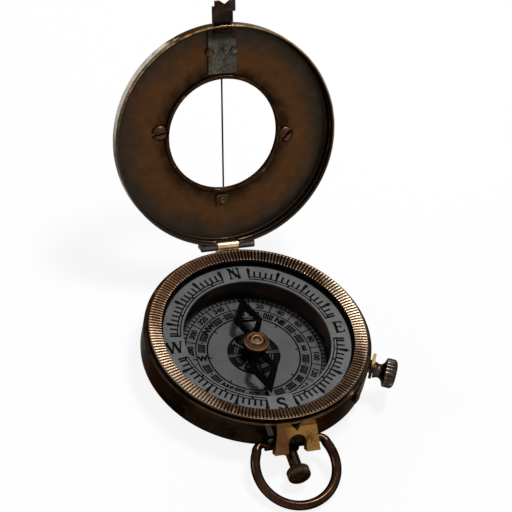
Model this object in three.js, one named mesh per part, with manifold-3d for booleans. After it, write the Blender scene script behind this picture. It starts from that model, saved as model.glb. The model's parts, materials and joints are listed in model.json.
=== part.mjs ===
// Pocket sighting compass: hinged lid with a window and hairline, turning bezel, floating needle,
// push stud that lifts the needle, bezel clamp at the side, sight block and thumb ring at the front.
// Millimetres, +Z up. Origin at the centre of the underside. -Y is the front, +Y the hinge side.
import * as THREE from 'three';
import { mergeVertices } from 'three/addons/utils/BufferGeometryUtils.js';
import Module from 'manifold-3d';

const wasm = await Module();
wasm.setup();

// Running clearances
const SEAT_GAP = 0.15;
const TURN_GAP = 0.15;
const BORE_GAP = 0.1;
const SLIDE_GAP = 0.2;

// Facets round the large turned pieces, the small ones, the rivets and the wires
const LARGE_SIDES = 48;
const SMALL_SIDES = 16;
const RIVET_SIDES = 10;
const WIRE_SIDES = 10;

// Heights built up from the underside to the dial face
const COVER_THICK = 1.2;
const CHAMBER_HEIGHT = 1.2;
const LINER_THICK = 0.6;
const DIAL_THICK = 0.8;
const DIAL_TO_RING = 6.3;
const CHAPTER_THICK = 0.6;
const GLASS_THICK = 1.2;
const GLASS_SEAT = 0.05;

// Case
const CASE_R = 31.1;
const CASE_WALL = 1.75;
const CASE_FOOT = 3.0;
const CASE_FILLET = 1.2;
const CASE_CHAMFER = 0.3;
const SHOULDER_DROP = 1.3;
const BEZEL_SEAT_DEPTH = 3.0;
const BEZEL_SEAT_LEDGE = 0.95;
const LINER_LEDGE_INSET = 0.7;
const LINER_LEDGE_TOP = 4.2;
const BASE_RING_INSET = 2.9;
const BASE_RING_WIDTH = 3.0;
const COVER_INSET = 0.6;
const COVER_CHAMFER = 0.5;
const COVER_SCREW_INSET = 1.2;
const COVER_SCREW_ANGLES = [60, 180, 300];
const COVER_SCREW_HEAD_R = 1.0;
const COVER_SCREW_HEAD = 0.7;
const COVER_SCREW_R = 0.55;
const COVER_SCREW_LENGTH = 2.1;

// Dial well
const WELL_INSET = 10.2;
const WELL_WALL = 0.7;
const WELL_FLANGE = 2.3;
const DIAL_HOLE_R = 2.7;

// Bezel, its glass and its ring of marks
const BEZEL_STEP = 1.1;
const RIB_LENGTH = 3.6;
const LIP_WIDTH = 0.35;
const RIB_FALL = 0.23;
const BEZEL_BAND = 0.85;
const BEZEL_CHAMFER = 0.25;
const BEZEL_GROOVE = 0.5;
const LIP_HEIGHT = 0.77;
const SKIRT_GAP = 0.3;
const SKIRT_WALL = 1.45;
const CHAPTER_OVERHANG = 0.7;
const RETAINER_WIDTH = 1.4;
const RETAINER_THICK = 0.6;

// Needle, pivot and lifter
const POST_R = 0.9;
const POST_ABOVE_DIAL = 2.7;
const POST_TIP_R = 0.6;
const POST_TIP = 0.4;
const PIN_R = 0.32;
const PIN_SOCKET = 1.5;
const PIN_CONE = 0.8;
const BLADE_ABOVE_DIAL = 3.8;
const BLADE_THICK = 0.5;
const NEEDLE_TIP_GAP = 3.9;
const NEEDLE_HALF_WIDTH = 4.0;
const NEEDLE_WAIST = 1.2;
const NEEDLE_BELLY = 8.4;
const NEEDLE_FRAME = 1.7;
const NEEDLE_EYE_R = 2.5;
const NEEDLE_TURN = -1.75;
const CROSS_BAR = 0.5;
const HUB_R = 3.5;
const HUB_CROWN_R = 2.9;
const HUB_RIM = 0.4;
const HUB_HEIGHT = 1.95;
const HUB_BORE = 0.98;
const HUB_TUBE_R = 1.35;
const HUB_TUBE_DROP = 0.1;
const JEWEL_HEIGHT = 0.75;
const SLEEVE_BORE = 1.1;
const SLEEVE_R = 1.8;
const FOOT_HALF_X = 2.4;
const FOOT_HALF_Y = 0.7;
const FOOT_TOP_GAP = 0.1;
const RAMP_SLOPE = 0.3;

// Push stud with its slide and spring, along -Y
const STUD_X = 0.1;
const STUD_Z = 4.2;
const STUD_R = 1.6;
const STUD_REACH = 12.1;
const STUD_CAP_R = 3.1;
const STUD_CAP = 2.9;
const STUD_SPIGOT_R = 1.0;
const STUD_SPIGOT = 1.7;
const STUD_TRAVEL = 1.4;
const STUD_COLLAR_R = 2.2;
const STUD_COLLAR = 0.6;
const STUD_ROD_R = 0.85;
const STUD_POCKET_HALF = 2.5;
const KNURL_DEPTH = 0.22;
const STUD_KNURLS = 22;
const SLIDE_THICK = 0.45;
const SLIDE_HALF_X = 2.4;
const SLIDE_SLOT_HALF = 1.15;
const SLIDE_LUG = 0.6;
const SLIDE_LUG_HALF_X = 1.5;
const SLIDE_LUG_ABOVE = 1.5;
const SPRING_WIRE_R = 0.17;
const SPRING_R = 1.22;
const SPRING_TURNS = 4;
const SPRING_STEPS = 10;

// Front bracket, sight block and thumb ring
const BRACKET_HALF_X = 7.0;
const BRACKET_OUT = 2.5;
const BRACKET_BOTTOM = 5.0;
const BRACKET_TOP_DROP = 0.15;
const BRACKET_BOSS_R = 2.6;
const BRACKET_SCREW_X = 6.1;
const BRACKET_SCREW_Z = 9.6;
const BRACKET_SCREW_HEAD_R = 0.75;
const BRACKET_SCREW_HEAD = 0.45;
const BRACKET_SCREW_R = 0.45;
const BRACKET_SCREW_LENGTH = 1.6;
const SIGHT_X = 0.9;
const SIGHT_OUT = 5.9;
const SIGHT_FOOT_Z = 6.9;
const SIGHT_TILT = 35.6;
const SIGHT_HEIGHT = 8.3;
const SIGHT_THICK = 2.6;
const SIGHT_HALF_TOP = 5.3;
const SIGHT_HALF_FOOT = 6.3;
const SIGHT_NOTCH_HALF = 1.9;
const SIGHT_NOTCH = 2.3;
const SIGHT_ARCH_HALF = 2.5;
const SIGHT_ARCH = 5.1;
const RING_R = 10.97;
const RING_WIRE_R = 1.31;
const RING_END_X = 8.4;
const RING_PIVOT_OUT = 1.5;
const RING_PIVOT_Z = 6.8;
const RING_PIN_R = 0.95;
const RING_PIN_REACH = 1.7;
const RING_STEPS = 36;

// Bezel clamp at the side
const CLAMP_ANGLE = -27;
const CLAMP_Z = 9.0;
const CLAMP_SCREW_R = 1.1;
const CLAMP_SCREW_SINK = 1.45;
const CLAMP_REACH = 7.6;
const CLAMP_CAP_R = 4.0;
const CLAMP_CAP = 3.4;
const CLAMP_NECK_R = 1.9;
const CLAMP_FLANGE_R = 2.2;
const CLAMP_FLARE = 1.5;
const CLAMP_KNURLS = 20;
const CLAMP_CROWN = 0.9;
const SHOE_THICK = 0.8;
const SHOE_HALF_WIDTH = 1.9;
const SHOE_BOTTOM = 7.1;
const SHOE_TOP = 13.4;
const SHOE_FOOT_HALF = 1.6;
const SHOE_FOOT_BOTTOM = 10.35;
const SHOE_FOOT_TOP = 10.95;
const SHOE_TRAVEL = 0.25;
const STOP_LUG_ANGLE = -47;
const STOP_LUG_HALF = 1.1;
const STOP_LUG_THICK = 0.9;
const STOP_LUG_BOTTOM = 7.2;
const STOP_LUG_HEIGHT = 4.2;

// Hinge
const HINGE_OUT = 0.35;
const HINGE_ABOVE_BEZEL = 0.4;
const KNUCKLE_R = 1.2;
const HINGE_PIN_R = 0.6;
const CASE_KNUCKLE_HALF = 3.0;
const HINGE_HALF = 7.6;
const LEAF_THICK = 1.0;
const CASE_LEAF_OUT = 0.45;
const CASE_LEAF_DROP = 4.2;
const LID_LEAF_LOW = 1.4;
const LID_LEAF_HIGH = 3.0;
const LEAF_RIVET_INSET = 2.2;
const LEAF_RIVET_R = 0.75;

// Lid, measured from its rim plane towards its top
const LID_OPEN = 120;
const LID_OVERHANG = 0.05;
const LID_DEPTH = 4.6;
const LID_PLATE = 0.7;
const LID_WALL = 0.95;
const LID_REBATE = 0.2;
const LID_REBATE_DEPTH = 1.4;
const LID_EDGE = 0.5;
const LID_RIM_GAP = 0.35;
const HINGE_NOTCH_GAP = 0.45;
const WINDOW_R = 15.4;
const WINDOW_RING_WIDTH = 1.2;
const WINDOW_RING_RISE = 0.8;
const HAIRLINE_R = 0.2;
const LID_SCREW_FROM_WINDOW = 2.7;
const LID_SCREW_TURN = 6;
const LID_SCREW_HEAD_R = 2.2;
const LID_SCREW_HEAD = 1.0;
const LID_SCREW_R = 1.0;
const LID_SCREW_SLOT = 0.6;
const CATCH_HALF = 4.0;
const CATCH_THICK = 0.55;
const CATCH_FROM_WINDOW = 1.7;
const CATCH_TO_WALL = 0.7;
const CATCH_RIVET_X = 3.5;
const CATCH_RIVET_UP = 6.0;
const CATCH_RIVET_R = 1.2;
const RIVET_HEAD = 0.45;
const RIVET_SHANK_R = 0.4;
const HOOK_HALF = 2.9;
const HOOK_TANG_HALF = 2.4;
const HOOK_THICK = 1.0;
const HOOK_DEPTH = 2.1;
const HOOK_NECK = 3.85;
const HOOK_LIP = 3.0;
const HOOK_NOTCH_HALF = 1.6;
const HOOK_NOTCH = 1.1;
const ANCHOR_X = -0.6;
const ANCHOR_FROM_WINDOW = 3.6;
const ANCHOR_HALF = 1.7;
const ANCHOR_THICK = 0.5;

// Levels and radii that follow from the sizes above
const linerBottom = COVER_THICK + CHAMBER_HEIGHT;
const dialBottom = linerBottom + LINER_THICK;
const dialTop = dialBottom + DIAL_THICK;
const chapterBottom = dialTop + DIAL_TO_RING;
const glassBottom = chapterBottom + CHAPTER_THICK + GLASS_SEAT;
const glassTop = glassBottom + GLASS_THICK;
const lipBottom = glassTop + GLASS_SEAT;
const bezelTop = lipBottom + LIP_HEIGHT + RIB_FALL;
const shoulder = bezelTop - SHOULDER_DROP;
const caseBore = CASE_R - CASE_WALL;
const baseRingR = CASE_R - BASE_RING_INSET;
const baseRingBore = baseRingR - BASE_RING_WIDTH;
const coverR = baseRingR - COVER_INSET;
const coverScrewCircle = coverR - COVER_SCREW_INSET;
const wellR = CASE_R - WELL_INSET;
const wellFlangeBore = wellR - WELL_FLANGE;
const bezelR = CASE_R - BEZEL_STEP;
const ribInnerR = bezelR - RIB_LENGTH;
const lipR = ribInnerR - LIP_WIDTH;
const chapterBore = wellR - CHAPTER_OVERHANG;
const needleHalf = wellR - NEEDLE_TIP_GAP;
const studEnd = CASE_R + STUD_REACH;
const bracketFront = CASE_R + BRACKET_OUT;
const sightFootY = CASE_R + SIGHT_OUT;
const ringPivotY = CASE_R + RING_PIVOT_OUT;
const clampScrewIn = CASE_R - CLAMP_SCREW_SINK;
const clampEnd = CASE_R + CLAMP_REACH;
const lidR = CASE_R + LID_OVERHANG;
const lidScrewCircle = WINDOW_R + LID_SCREW_FROM_WINDOW;
const catchInner = WINDOW_R + CATCH_FROM_WINDOW;
const catchRivetY = catchInner + CATCH_RIVET_UP;
const anchorY = WINDOW_R + ANCHOR_FROM_WINDOW;
const hookElbow = lidR + HOOK_NECK;
const hookTip = hookElbow + HOOK_LIP;
const seatLedge = shoulder - BEZEL_SEAT_DEPTH;
const lowerBore = caseBore - BEZEL_SEAT_LEDGE;
const linerLedgeR = lowerBore - LINER_LEDGE_INSET;
const skirtR = caseBore - SKIRT_GAP;
const skirtBore = skirtR - SKIRT_WALL;
const ringStackR = skirtBore - SLIDE_GAP;
const retainerBore = ringStackR - RETAINER_WIDTH;
const bladeBottom = dialTop + BLADE_ABOVE_DIAL;
const bladeTop = bladeBottom + BLADE_THICK;
const hubBottom = bladeTop + GLASS_SEAT;
const hubTop = hubBottom + HUB_HEIGHT;
const postTop = dialTop + POST_ABOVE_DIAL;
const hingeY = CASE_R + HINGE_OUT;
const hingeZ = bezelTop + HINGE_ABOVE_BEZEL;
const hingeNotchHalf = HINGE_HALF + HINGE_NOTCH_GAP;
const leafRivetX = HINGE_HALF - LEAF_RIVET_INSET;
const lidRim = shoulder + LID_RIM_GAP;
const lidPlateInside = LID_DEPTH - LID_PLATE;
const lidBore = lidR - LID_WALL;
const catchOuter = lidBore - CATCH_TO_WALL;
const ringReach = Math.sqrt(RING_R ** 2 - RING_END_X ** 2);
const ringSlope = Math.asin((RING_PIVOT_Z - RING_WIRE_R) / (ringReach + RING_R));
const studCollarOut = lowerBore - SLIDE_GAP;
const studCollarIn = studCollarOut - STUD_COLLAR;
const lugOut = studCollarIn - BORE_GAP;
const lugIn = lugOut - SLIDE_LUG;
const wellOuterR = wellR + WELL_WALL;
const slideBottom = COVER_THICK + SLIDE_GAP;
const slideTop = slideBottom + SLIDE_THICK;
const rampLow = 1.0;
const rampHigh = -2.2;
const rampMid = slideTop + RAMP_SLOPE * rampLow;

const rad = THREE.MathUtils.degToRad;

// Finishes
const finish = (color, roughness, metalness, extra = {}) => () =>
  new THREE.MeshStandardMaterial({ color, roughness, metalness, ...extra });
const bronze = finish(0x4a3422, 0.5, 0.85);
const lidBronze = finish(0x66431f, 0.45, 0.85);
const ribBrass = finish(0x7a5632, 0.4, 0.9);
const brass = finish(0xa98450, 0.42, 0.9);
const copper = finish(0x7d4f33, 0.4, 0.9);
const steel = finish(0x66635b, 0.55, 0.85);
const darkSteel = finish(0x35312d, 0.5, 0.8);
const silvered = finish(0x8b8d90, 0.6, 0.4);
const enamel = finish(0xb9bcc0, 0.6, 0.2);
const blued = finish(0x0d0d10, 0.4, 0.6);
const agate = finish(0x77808a, 0.2, 0.0);
const glassy = finish(0xe6eef0, 0.05, 0.0, { transparent: true, opacity: 0.2 });

// Gives a closed shape one shared vertex per corner, no collapsed faces and its faces pointing out.
function closed(geometry) {
  const bare = geometry.clone();
  bare.deleteAttribute('normal');
  bare.deleteAttribute('uv');
  const merged = mergeVertices(bare, 1e-5);
  const p = merged.attributes.position;
  const index = merged.index.array;
  const kept = [];
  let volume = 0;
  const [a, b, c] = [new THREE.Vector3(), new THREE.Vector3(), new THREE.Vector3()];
  for (let i = 0; i < index.length; i += 3) {
    const [i0, i1, i2] = [index[i], index[i + 1], index[i + 2]];
    if (i0 === i1 || i1 === i2 || i2 === i0) continue;
    a.fromBufferAttribute(p, i0);
    b.fromBufferAttribute(p, i1);
    c.fromBufferAttribute(p, i2);
    volume += a.dot(b.cross(c));
    kept.push(i0, i1, i2);
  }
  if (volume < 0) {
    for (let i = 0; i < kept.length; i += 3) {
      [kept[i + 1], kept[i + 2]] = [kept[i + 2], kept[i + 1]];
    }
  }
  merged.setIndex(kept);
  return merged;
}

function toSolid(geometry) {
  const shape = closed(geometry);
  const vertProperties = new Float32Array(shape.attributes.position.array);
  const triVerts = new Uint32Array(shape.index.array);
  return new wasm.Manifold(new wasm.Mesh({ numProp: 3, vertProperties, triVerts }));
}

function toGeometry(solid) {
  const mesh = solid.getMesh();
  const geometry = new THREE.BufferGeometry();
  geometry.setAttribute('position', new THREE.BufferAttribute(mesh.vertProperties, 3));
  geometry.setIndex(new THREE.BufferAttribute(mesh.triVerts, 1));
  return geometry;
}

const cut = (base, ...tools) =>
  toGeometry(tools.reduce((solid, tool) => solid.subtract(toSolid(tool)), toSolid(base)));
const join = (base, ...others) =>
  toGeometry(others.reduce((solid, other) => solid.add(toSolid(other)), toSolid(base)));

// A profile of [radius, height] points turned about Z. Profiles off the axis are closed on themselves.
function turned(profile, sides = LARGE_SIDES) {
  const points = profile.map(([r, z]) => new THREE.Vector2(r, z));
  const offAxis = points[0].x > 0 || points.at(-1).x > 0;
  if (offAxis) points.push(points[0].clone());
  return new THREE.LatheGeometry(points, sides).rotateX(Math.PI / 2);
}

// Points of a quarter round from one profile point to another about a centre.
function quarter(centreR, centreZ, radius, fromDeg, toDeg, steps = 4) {
  return Array.from({ length: steps + 1 }, (_, i) => {
    const angle = rad(fromDeg + ((toDeg - fromDeg) * i) / steps);
    return [centreR + radius * Math.cos(angle), centreZ + radius * Math.sin(angle)];
  });
}

const block = (x0, x1, y0, y1, z0, z1) =>
  new THREE.BoxGeometry(x1 - x0, y1 - y0, z1 - z0)
    .translate((x0 + x1) / 2, (y0 + y1) / 2, (z0 + z1) / 2);

const disc = (radius, z0, z1, sides = LARGE_SIDES) =>
  turned([[0, z0], [radius, z0], [radius, z1], [0, z1]], sides);
const alongX = (geometry) => geometry.rotateY(Math.PI / 2);
const towardsFront = (geometry) => geometry.rotateX(Math.PI / 2);
const studPlaced = (geometry) => towardsFront(geometry).translate(STUD_X, 0, STUD_Z);

function outline(points) {
  return new THREE.Shape(points.map(([x, y]) => new THREE.Vector2(x, y)));
}

const plate = (shape, thick, curveSegments = 12) =>
  new THREE.ExtrudeGeometry(shape, { depth: thick, bevelEnabled: false, curveSegments });

// A profile in the YZ plane pushed out along X from x0 to x1.
function across(points, x0, x1) {
  const flat = plate(outline(points), x1 - x0);
  flat.applyMatrix4(new THREE.Matrix4().makeBasis(
    new THREE.Vector3(0, 1, 0), new THREE.Vector3(0, 0, 1), new THREE.Vector3(1, 0, 0)));
  return flat.translate(x0, 0, 0);
}

// A round grip with straight knurls, standing on z0.
function knurled(radius, length, count, z0) {
  const points = [];
  for (let i = 0; i < count; i += 1) {
    [[0, 0], [0.3, 0], [0.5, KNURL_DEPTH], [0.8, KNURL_DEPTH]].forEach(([share, drop]) => {
      const angle = ((i + share) / count) * 2 * Math.PI;
      points.push([(radius - drop) * Math.cos(angle), (radius - drop) * Math.sin(angle)]);
    });
  }
  return plate(outline(points), length).translate(0, 0, z0);
}

function slottedHead(radius, height, shankR, shankLength, slot) {
  const dome = turned([
    [0, -shankLength], [shankR, -shankLength], [shankR, 0], [radius, 0], [radius, height * 0.45],
    [radius * 0.8, height * 0.8], [radius * 0.45, height], [0, height],
  ], SMALL_SIDES);
  return cut(dome, block(-radius - 1, radius + 1, -slot / 2, slot / 2, height * 0.5, height + 1));
}

const rivet = (radius, shankLength) => turned([
  [0, -shankLength], [RIVET_SHANK_R, -shankLength], [RIVET_SHANK_R, 0], [radius, 0],
  [radius * 0.85, RIVET_HEAD * 0.6], [radius * 0.45, RIVET_HEAD], [0, RIVET_HEAD],
], RIVET_SIDES);

const compass = new THREE.Group();
const clampGroup = new THREE.Group();
const lidGroup = new THREE.Group();

function add(group, name, geometry, material) {
  const shape = closed(geometry);
  shape.computeVertexNormals();
  const mesh = new THREE.Mesh(shape, material());
  mesh.name = name;
  group.add(mesh);
  return mesh;
}

function atPolar(geometry, radius, angleDeg, z = 0) {
  return geometry.translate(radius, 0, z).rotateZ(rad(angleDeg));
}

// Case shell, back cover and the dial well
function caseBody() {
  const shell = turned([
    [baseRingBore, COVER_THICK],
    [baseRingR, COVER_THICK],
    [baseRingR, CASE_FOOT],
    ...quarter(CASE_R - CASE_FILLET, CASE_FOOT + CASE_FILLET, CASE_FILLET, -90, 0),
    [CASE_R, shoulder - CASE_CHAMFER],
    [CASE_R - CASE_CHAMFER, shoulder],
    [caseBore, shoulder],
    [caseBore, seatLedge],
    [lowerBore, seatLedge],
    [lowerBore, LINER_LEDGE_TOP],
    [linerLedgeR, LINER_LEDGE_TOP],
    [linerLedgeR, linerBottom],
    [baseRingBore, linerBottom],
  ]);
  const studBore = studPlaced(disc(STUD_R + BORE_GAP, lowerBore - 1, CASE_R + 1, SMALL_SIDES));
  const studPocket = block(
    STUD_X - STUD_POCKET_HALF, STUD_X + STUD_POCKET_HALF, -lowerBore, -baseRingBore + 1,
    COVER_THICK - 1, STUD_Z + STUD_POCKET_HALF);
  const clampHole = disc(CLAMP_SCREW_R + BORE_GAP, lowerBore - 1, CASE_R + 1, SMALL_SIDES)
    .rotateY(Math.PI / 2).translate(0, 0, CLAMP_Z).rotateZ(rad(CLAMP_ANGLE));
  const shoeSlot = block(
    lowerBore - 1, CASE_R + 1, -SHOE_FOOT_HALF - SLIDE_GAP, SHOE_FOOT_HALF + SLIDE_GAP,
    SHOE_FOOT_BOTTOM - SLIDE_GAP, SHOE_FOOT_TOP + SLIDE_GAP).rotateZ(rad(CLAMP_ANGLE));
  const screwHoles = COVER_SCREW_ANGLES.map((angle) => atPolar(
    disc(COVER_SCREW_R + BORE_GAP, COVER_THICK - 1, linerBottom + 1, SMALL_SIDES), coverScrewCircle, angle));
  return cut(shell, studBore, studPocket, clampHole, shoeSlot, ...screwHoles);
}

function backCover() {
  const postHole = [POST_R + BORE_GAP, COVER_THICK * 0.3];
  const cover = turned([
    [0, 0], [coverR - COVER_CHAMFER, 0], [coverR, COVER_CHAMFER], [coverR, COVER_THICK],
    [postHole[0], COVER_THICK], postHole, [0, postHole[1]],
  ]);
  const holes = COVER_SCREW_ANGLES.flatMap((angle) => [
    atPolar(disc(COVER_SCREW_R + BORE_GAP, -1, COVER_THICK + 1, SMALL_SIDES), coverScrewCircle, angle),
    atPolar(disc(COVER_SCREW_HEAD_R + BORE_GAP, -1, COVER_SCREW_HEAD + BORE_GAP, SMALL_SIDES),
      coverScrewCircle, angle),
  ]);
  return cut(cover, ...holes);
}

function backScrew(angle) {
  const slot = block(-COVER_SCREW_HEAD_R - 1, COVER_SCREW_HEAD_R + 1, -0.15, 0.15, -1, BORE_GAP + 0.3);
  const screw = turned([
    [0, BORE_GAP], [COVER_SCREW_HEAD_R, BORE_GAP], [COVER_SCREW_HEAD_R, COVER_SCREW_HEAD],
    [COVER_SCREW_R, COVER_SCREW_HEAD], [COVER_SCREW_R, COVER_SCREW_LENGTH], [0, COVER_SCREW_LENGTH],
  ], SMALL_SIDES);
  return atPolar(cut(screw, slot), coverScrewCircle, angle);
}

function wellLiner() {
  const flangeR = linerLedgeR - SLIDE_GAP;
  const top = chapterBottom - TURN_GAP;
  const liner = turned([
    [wellFlangeBore, linerBottom], [flangeR, linerBottom], [flangeR, dialBottom],
    [wellOuterR, dialBottom], [wellOuterR, top], [wellR, top], [wellR, dialBottom],
    [wellFlangeBore, dialBottom],
  ]);
  const studSlot = block(
    STUD_X - STUD_POCKET_HALF, STUD_X + STUD_POCKET_HALF, -flangeR - 1, -wellOuterR - BORE_GAP,
    linerBottom - 1, dialBottom + 1);
  return cut(liner, studSlot);
}

const dialPlate = () => turned([
  [DIAL_HOLE_R, dialBottom], [wellR - BORE_GAP, dialBottom],
  [wellR - BORE_GAP, dialTop], [DIAL_HOLE_R, dialTop],
]);

const pivotPost = () => turned([
  [0, COVER_THICK * 0.3 + BORE_GAP], [POST_R, COVER_THICK * 0.3 + BORE_GAP], [POST_R, postTop - POST_TIP],
  [POST_TIP_R, postTop], [PIN_R + BORE_GAP, postTop], [PIN_R + BORE_GAP, postTop - PIN_SOCKET],
  [0, postTop - PIN_SOCKET],
], SMALL_SIDES);

const jewelBottom = hubTop - JEWEL_HEIGHT - 0.35;
const pinTop = jewelBottom + 0.1;
const pivotPin = () => turned([
  [0, postTop - PIN_SOCKET + BORE_GAP], [PIN_R, postTop - PIN_SOCKET + BORE_GAP],
  [PIN_R, pinTop - PIN_CONE], [0, pinTop],
], SMALL_SIDES);

// Bezel and what turns with it
const bezelRing = () => turned([
  [lipR, lipBottom],
  [ribInnerR, bezelTop - RIB_FALL],
  [bezelR - BEZEL_CHAMFER, bezelTop],
  [bezelR, bezelTop - BEZEL_CHAMFER],
  [bezelR, bezelTop - BEZEL_BAND],
  [bezelR - BEZEL_GROOVE, bezelTop - BEZEL_BAND - 0.1],
  [bezelR - BEZEL_GROOVE, shoulder + TURN_GAP],
  [skirtR, shoulder + TURN_GAP],
  [skirtR, seatLedge + TURN_GAP],
  [skirtBore, seatLedge + TURN_GAP],
  [skirtBore, lipBottom],
]);

const crystalGlass = () => disc(ringStackR, glassBottom, glassTop);

const chapterRing = () => turned([
  [chapterBore, chapterBottom], [ringStackR, chapterBottom],
  [ringStackR, chapterBottom + CHAPTER_THICK], [chapterBore, chapterBottom + CHAPTER_THICK],
]);

const retainingRing = () => turned([
  [retainerBore, chapterBottom - BORE_GAP - RETAINER_THICK],
  [ringStackR, chapterBottom - BORE_GAP - RETAINER_THICK],
  [ringStackR, chapterBottom - BORE_GAP], [retainerBore, chapterBottom - BORE_GAP],
]);

// Needle: two pierced rhombic arms on a round eye, the north arm with a cross bar
function needleBlade() {
  const eye = rad(90) - Math.asin(NEEDLE_WAIST / NEEDLE_EYE_R);
  const arm = (end) => [
    [NEEDLE_WAIST * end, NEEDLE_EYE_R * Math.sin(eye) * end],
    [NEEDLE_HALF_WIDTH * end, NEEDLE_BELLY * end],
    [0, needleHalf * end],
    [-NEEDLE_HALF_WIDTH * end, NEEDLE_BELLY * end],
    [-NEEDLE_WAIST * end, NEEDLE_EYE_R * Math.sin(eye) * end],
  ];
  const side = (from) => [-1, 0, 1].map((step) => {
    const angle = rad(from) + step * (eye / 2);
    return [NEEDLE_EYE_R * Math.cos(angle), NEEDLE_EYE_R * Math.sin(angle)];
  });
  const shape = outline([...arm(1), ...side(180), ...arm(-1), ...side(0)]);
  const insideHalf = NEEDLE_HALF_WIDTH - NEEDLE_FRAME;
  const low = NEEDLE_EYE_R + NEEDLE_FRAME;
  const high = needleHalf - 3 * NEEDLE_FRAME;
  const barHalf = CROSS_BAR / 2;
  const lowerHole = (end) => [[0, low * end], [insideHalf, (NEEDLE_BELLY - barHalf) * end],
    [-insideHalf, (NEEDLE_BELLY - barHalf) * end]];
  const upperHole = (end) => [[insideHalf, (NEEDLE_BELLY + barHalf) * end], [0, high * end],
    [-insideHalf, (NEEDLE_BELLY + barHalf) * end]];
  const openHole = (end) => [[0, low * end], [insideHalf, NEEDLE_BELLY * end], [0, high * end],
    [-insideHalf, NEEDLE_BELLY * end]];
  shape.holes.push(outline(lowerHole(1)), outline(upperHole(1)), outline(openHole(-1)));
  const hubHole = disc(HUB_TUBE_R + BORE_GAP, -1, BLADE_THICK + 1, SMALL_SIDES);
  return cut(plate(shape, BLADE_THICK), hubHole).rotateZ(rad(NEEDLE_TURN)).translate(0, 0, bladeBottom);
}

const hubCap = () => turned([
  [HUB_BORE, bladeBottom - HUB_TUBE_DROP], [HUB_TUBE_R, bladeBottom - HUB_TUBE_DROP], [HUB_TUBE_R, hubBottom],
  [HUB_R, hubBottom], [HUB_R, hubBottom + HUB_RIM], [HUB_CROWN_R + 0.2, hubBottom + HUB_RIM * 1.6],
  [HUB_CROWN_R, hubTop - 0.5], [HUB_CROWN_R - 0.6, hubTop], [HUB_BORE + 0.4, hubTop - 0.1],
  [HUB_BORE, hubTop - 0.35],
], 2 * SMALL_SIDES);

const jewel = () => turned([
  [0, jewelBottom + 0.3], [0.5, jewelBottom], [HUB_BORE - 0.05, jewelBottom],
  [HUB_BORE - 0.05, jewelBottom + JEWEL_HEIGHT - 0.1], [0, jewelBottom + JEWEL_HEIGHT],
], SMALL_SIDES);

// Lifter sleeve: its sloped foot rides on the ramps of the stud's slide
function lifterSleeve() {
  const foot = (y) => rampMid + SLIDE_GAP - RAMP_SLOPE * y;
  const footTop = dialBottom - FOOT_TOP_GAP;
  const tubeTop = bladeBottom - HUB_TUBE_DROP - SLIDE_GAP;
  const tube = turned([
    [SLEEVE_BORE, footTop - 0.2], [SLEEVE_R, footTop - 0.2], [SLEEVE_R, tubeTop], [SLEEVE_BORE, tubeTop],
  ], SMALL_SIDES);
  const pad = across([
    [-FOOT_HALF_Y, foot(-FOOT_HALF_Y)], [FOOT_HALF_Y, foot(FOOT_HALF_Y)],
    [FOOT_HALF_Y, footTop], [-FOOT_HALF_Y, footTop],
  ], -FOOT_HALF_X, FOOT_HALF_X);
  return cut(join(tube, pad), disc(SLEEVE_BORE, COVER_THICK, footTop + 1, SMALL_SIDES));
}

// Push stud, its knurled cap, the slide it drives and its return spring
const studPlunger = () => studPlaced(turned([
  [0, wellOuterR + STUD_TRAVEL + SLIDE_GAP], [STUD_ROD_R, wellOuterR + STUD_TRAVEL + SLIDE_GAP],
  [STUD_ROD_R, studCollarIn], [STUD_COLLAR_R, studCollarIn], [STUD_COLLAR_R, studCollarOut],
  [STUD_R, studCollarOut], [STUD_R, studEnd - STUD_CAP - BORE_GAP],
  [STUD_SPIGOT_R, studEnd - STUD_CAP - BORE_GAP], [STUD_SPIGOT_R, studEnd - STUD_CAP + STUD_SPIGOT],
  [0, studEnd - STUD_CAP + STUD_SPIGOT],
], SMALL_SIDES));

const studCap = () => studPlaced(cut(
  knurled(STUD_CAP_R, STUD_CAP, STUD_KNURLS, studEnd - STUD_CAP),
  disc(STUD_SPIGOT_R + BORE_GAP, studEnd - STUD_CAP - 1, studEnd - STUD_CAP + STUD_SPIGOT + BORE_GAP,
    SMALL_SIDES)));

function lifterSlide() {
  const bar = block(-SLIDE_HALF_X, SLIDE_HALF_X, -lugOut, rampLow, slideBottom, slideTop);
  const ramp = across([
    [rampHigh, slideTop - 0.2], [rampLow, slideTop - 0.2], [rampLow, slideTop],
    [rampHigh, rampMid - RAMP_SLOPE * rampHigh],
  ], -SLIDE_HALF_X, SLIDE_HALF_X);
  const lug = block(STUD_X - SLIDE_LUG_HALF_X, STUD_X + SLIDE_LUG_HALF_X, -lugOut, -lugIn,
    slideBottom, STUD_Z + SLIDE_LUG_ABOVE);
  const slot = block(-SLIDE_SLOT_HALF, SLIDE_SLOT_HALF, -STUD_TRAVEL - SLIDE_SLOT_HALF, rampLow + 1,
    slideBottom - 1, dialBottom);
  const rodHole = studPlaced(disc(STUD_ROD_R + BORE_GAP, lugIn - 1, lugOut + 1, SMALL_SIDES));
  return cut(join(bar, ramp, lug), slot, rodHole);
}

class Helix extends THREE.Curve {
  constructor(radius, from, to, turns) {
    super();
    Object.assign(this, { radius, from, to, turns });
  }

  getPoint(t, target = new THREE.Vector3()) {
    const angle = 2 * Math.PI * this.turns * t;
    return target.set(
      this.radius * Math.cos(angle), this.radius * Math.sin(angle), this.from + (this.to - this.from) * t);
  }
}

function wireSection(radius, sides) {
  return outline(Array.from({ length: sides }, (_, i) => [
    radius * Math.cos((2 * Math.PI * i) / sides), radius * Math.sin((2 * Math.PI * i) / sides)]));
}

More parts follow.
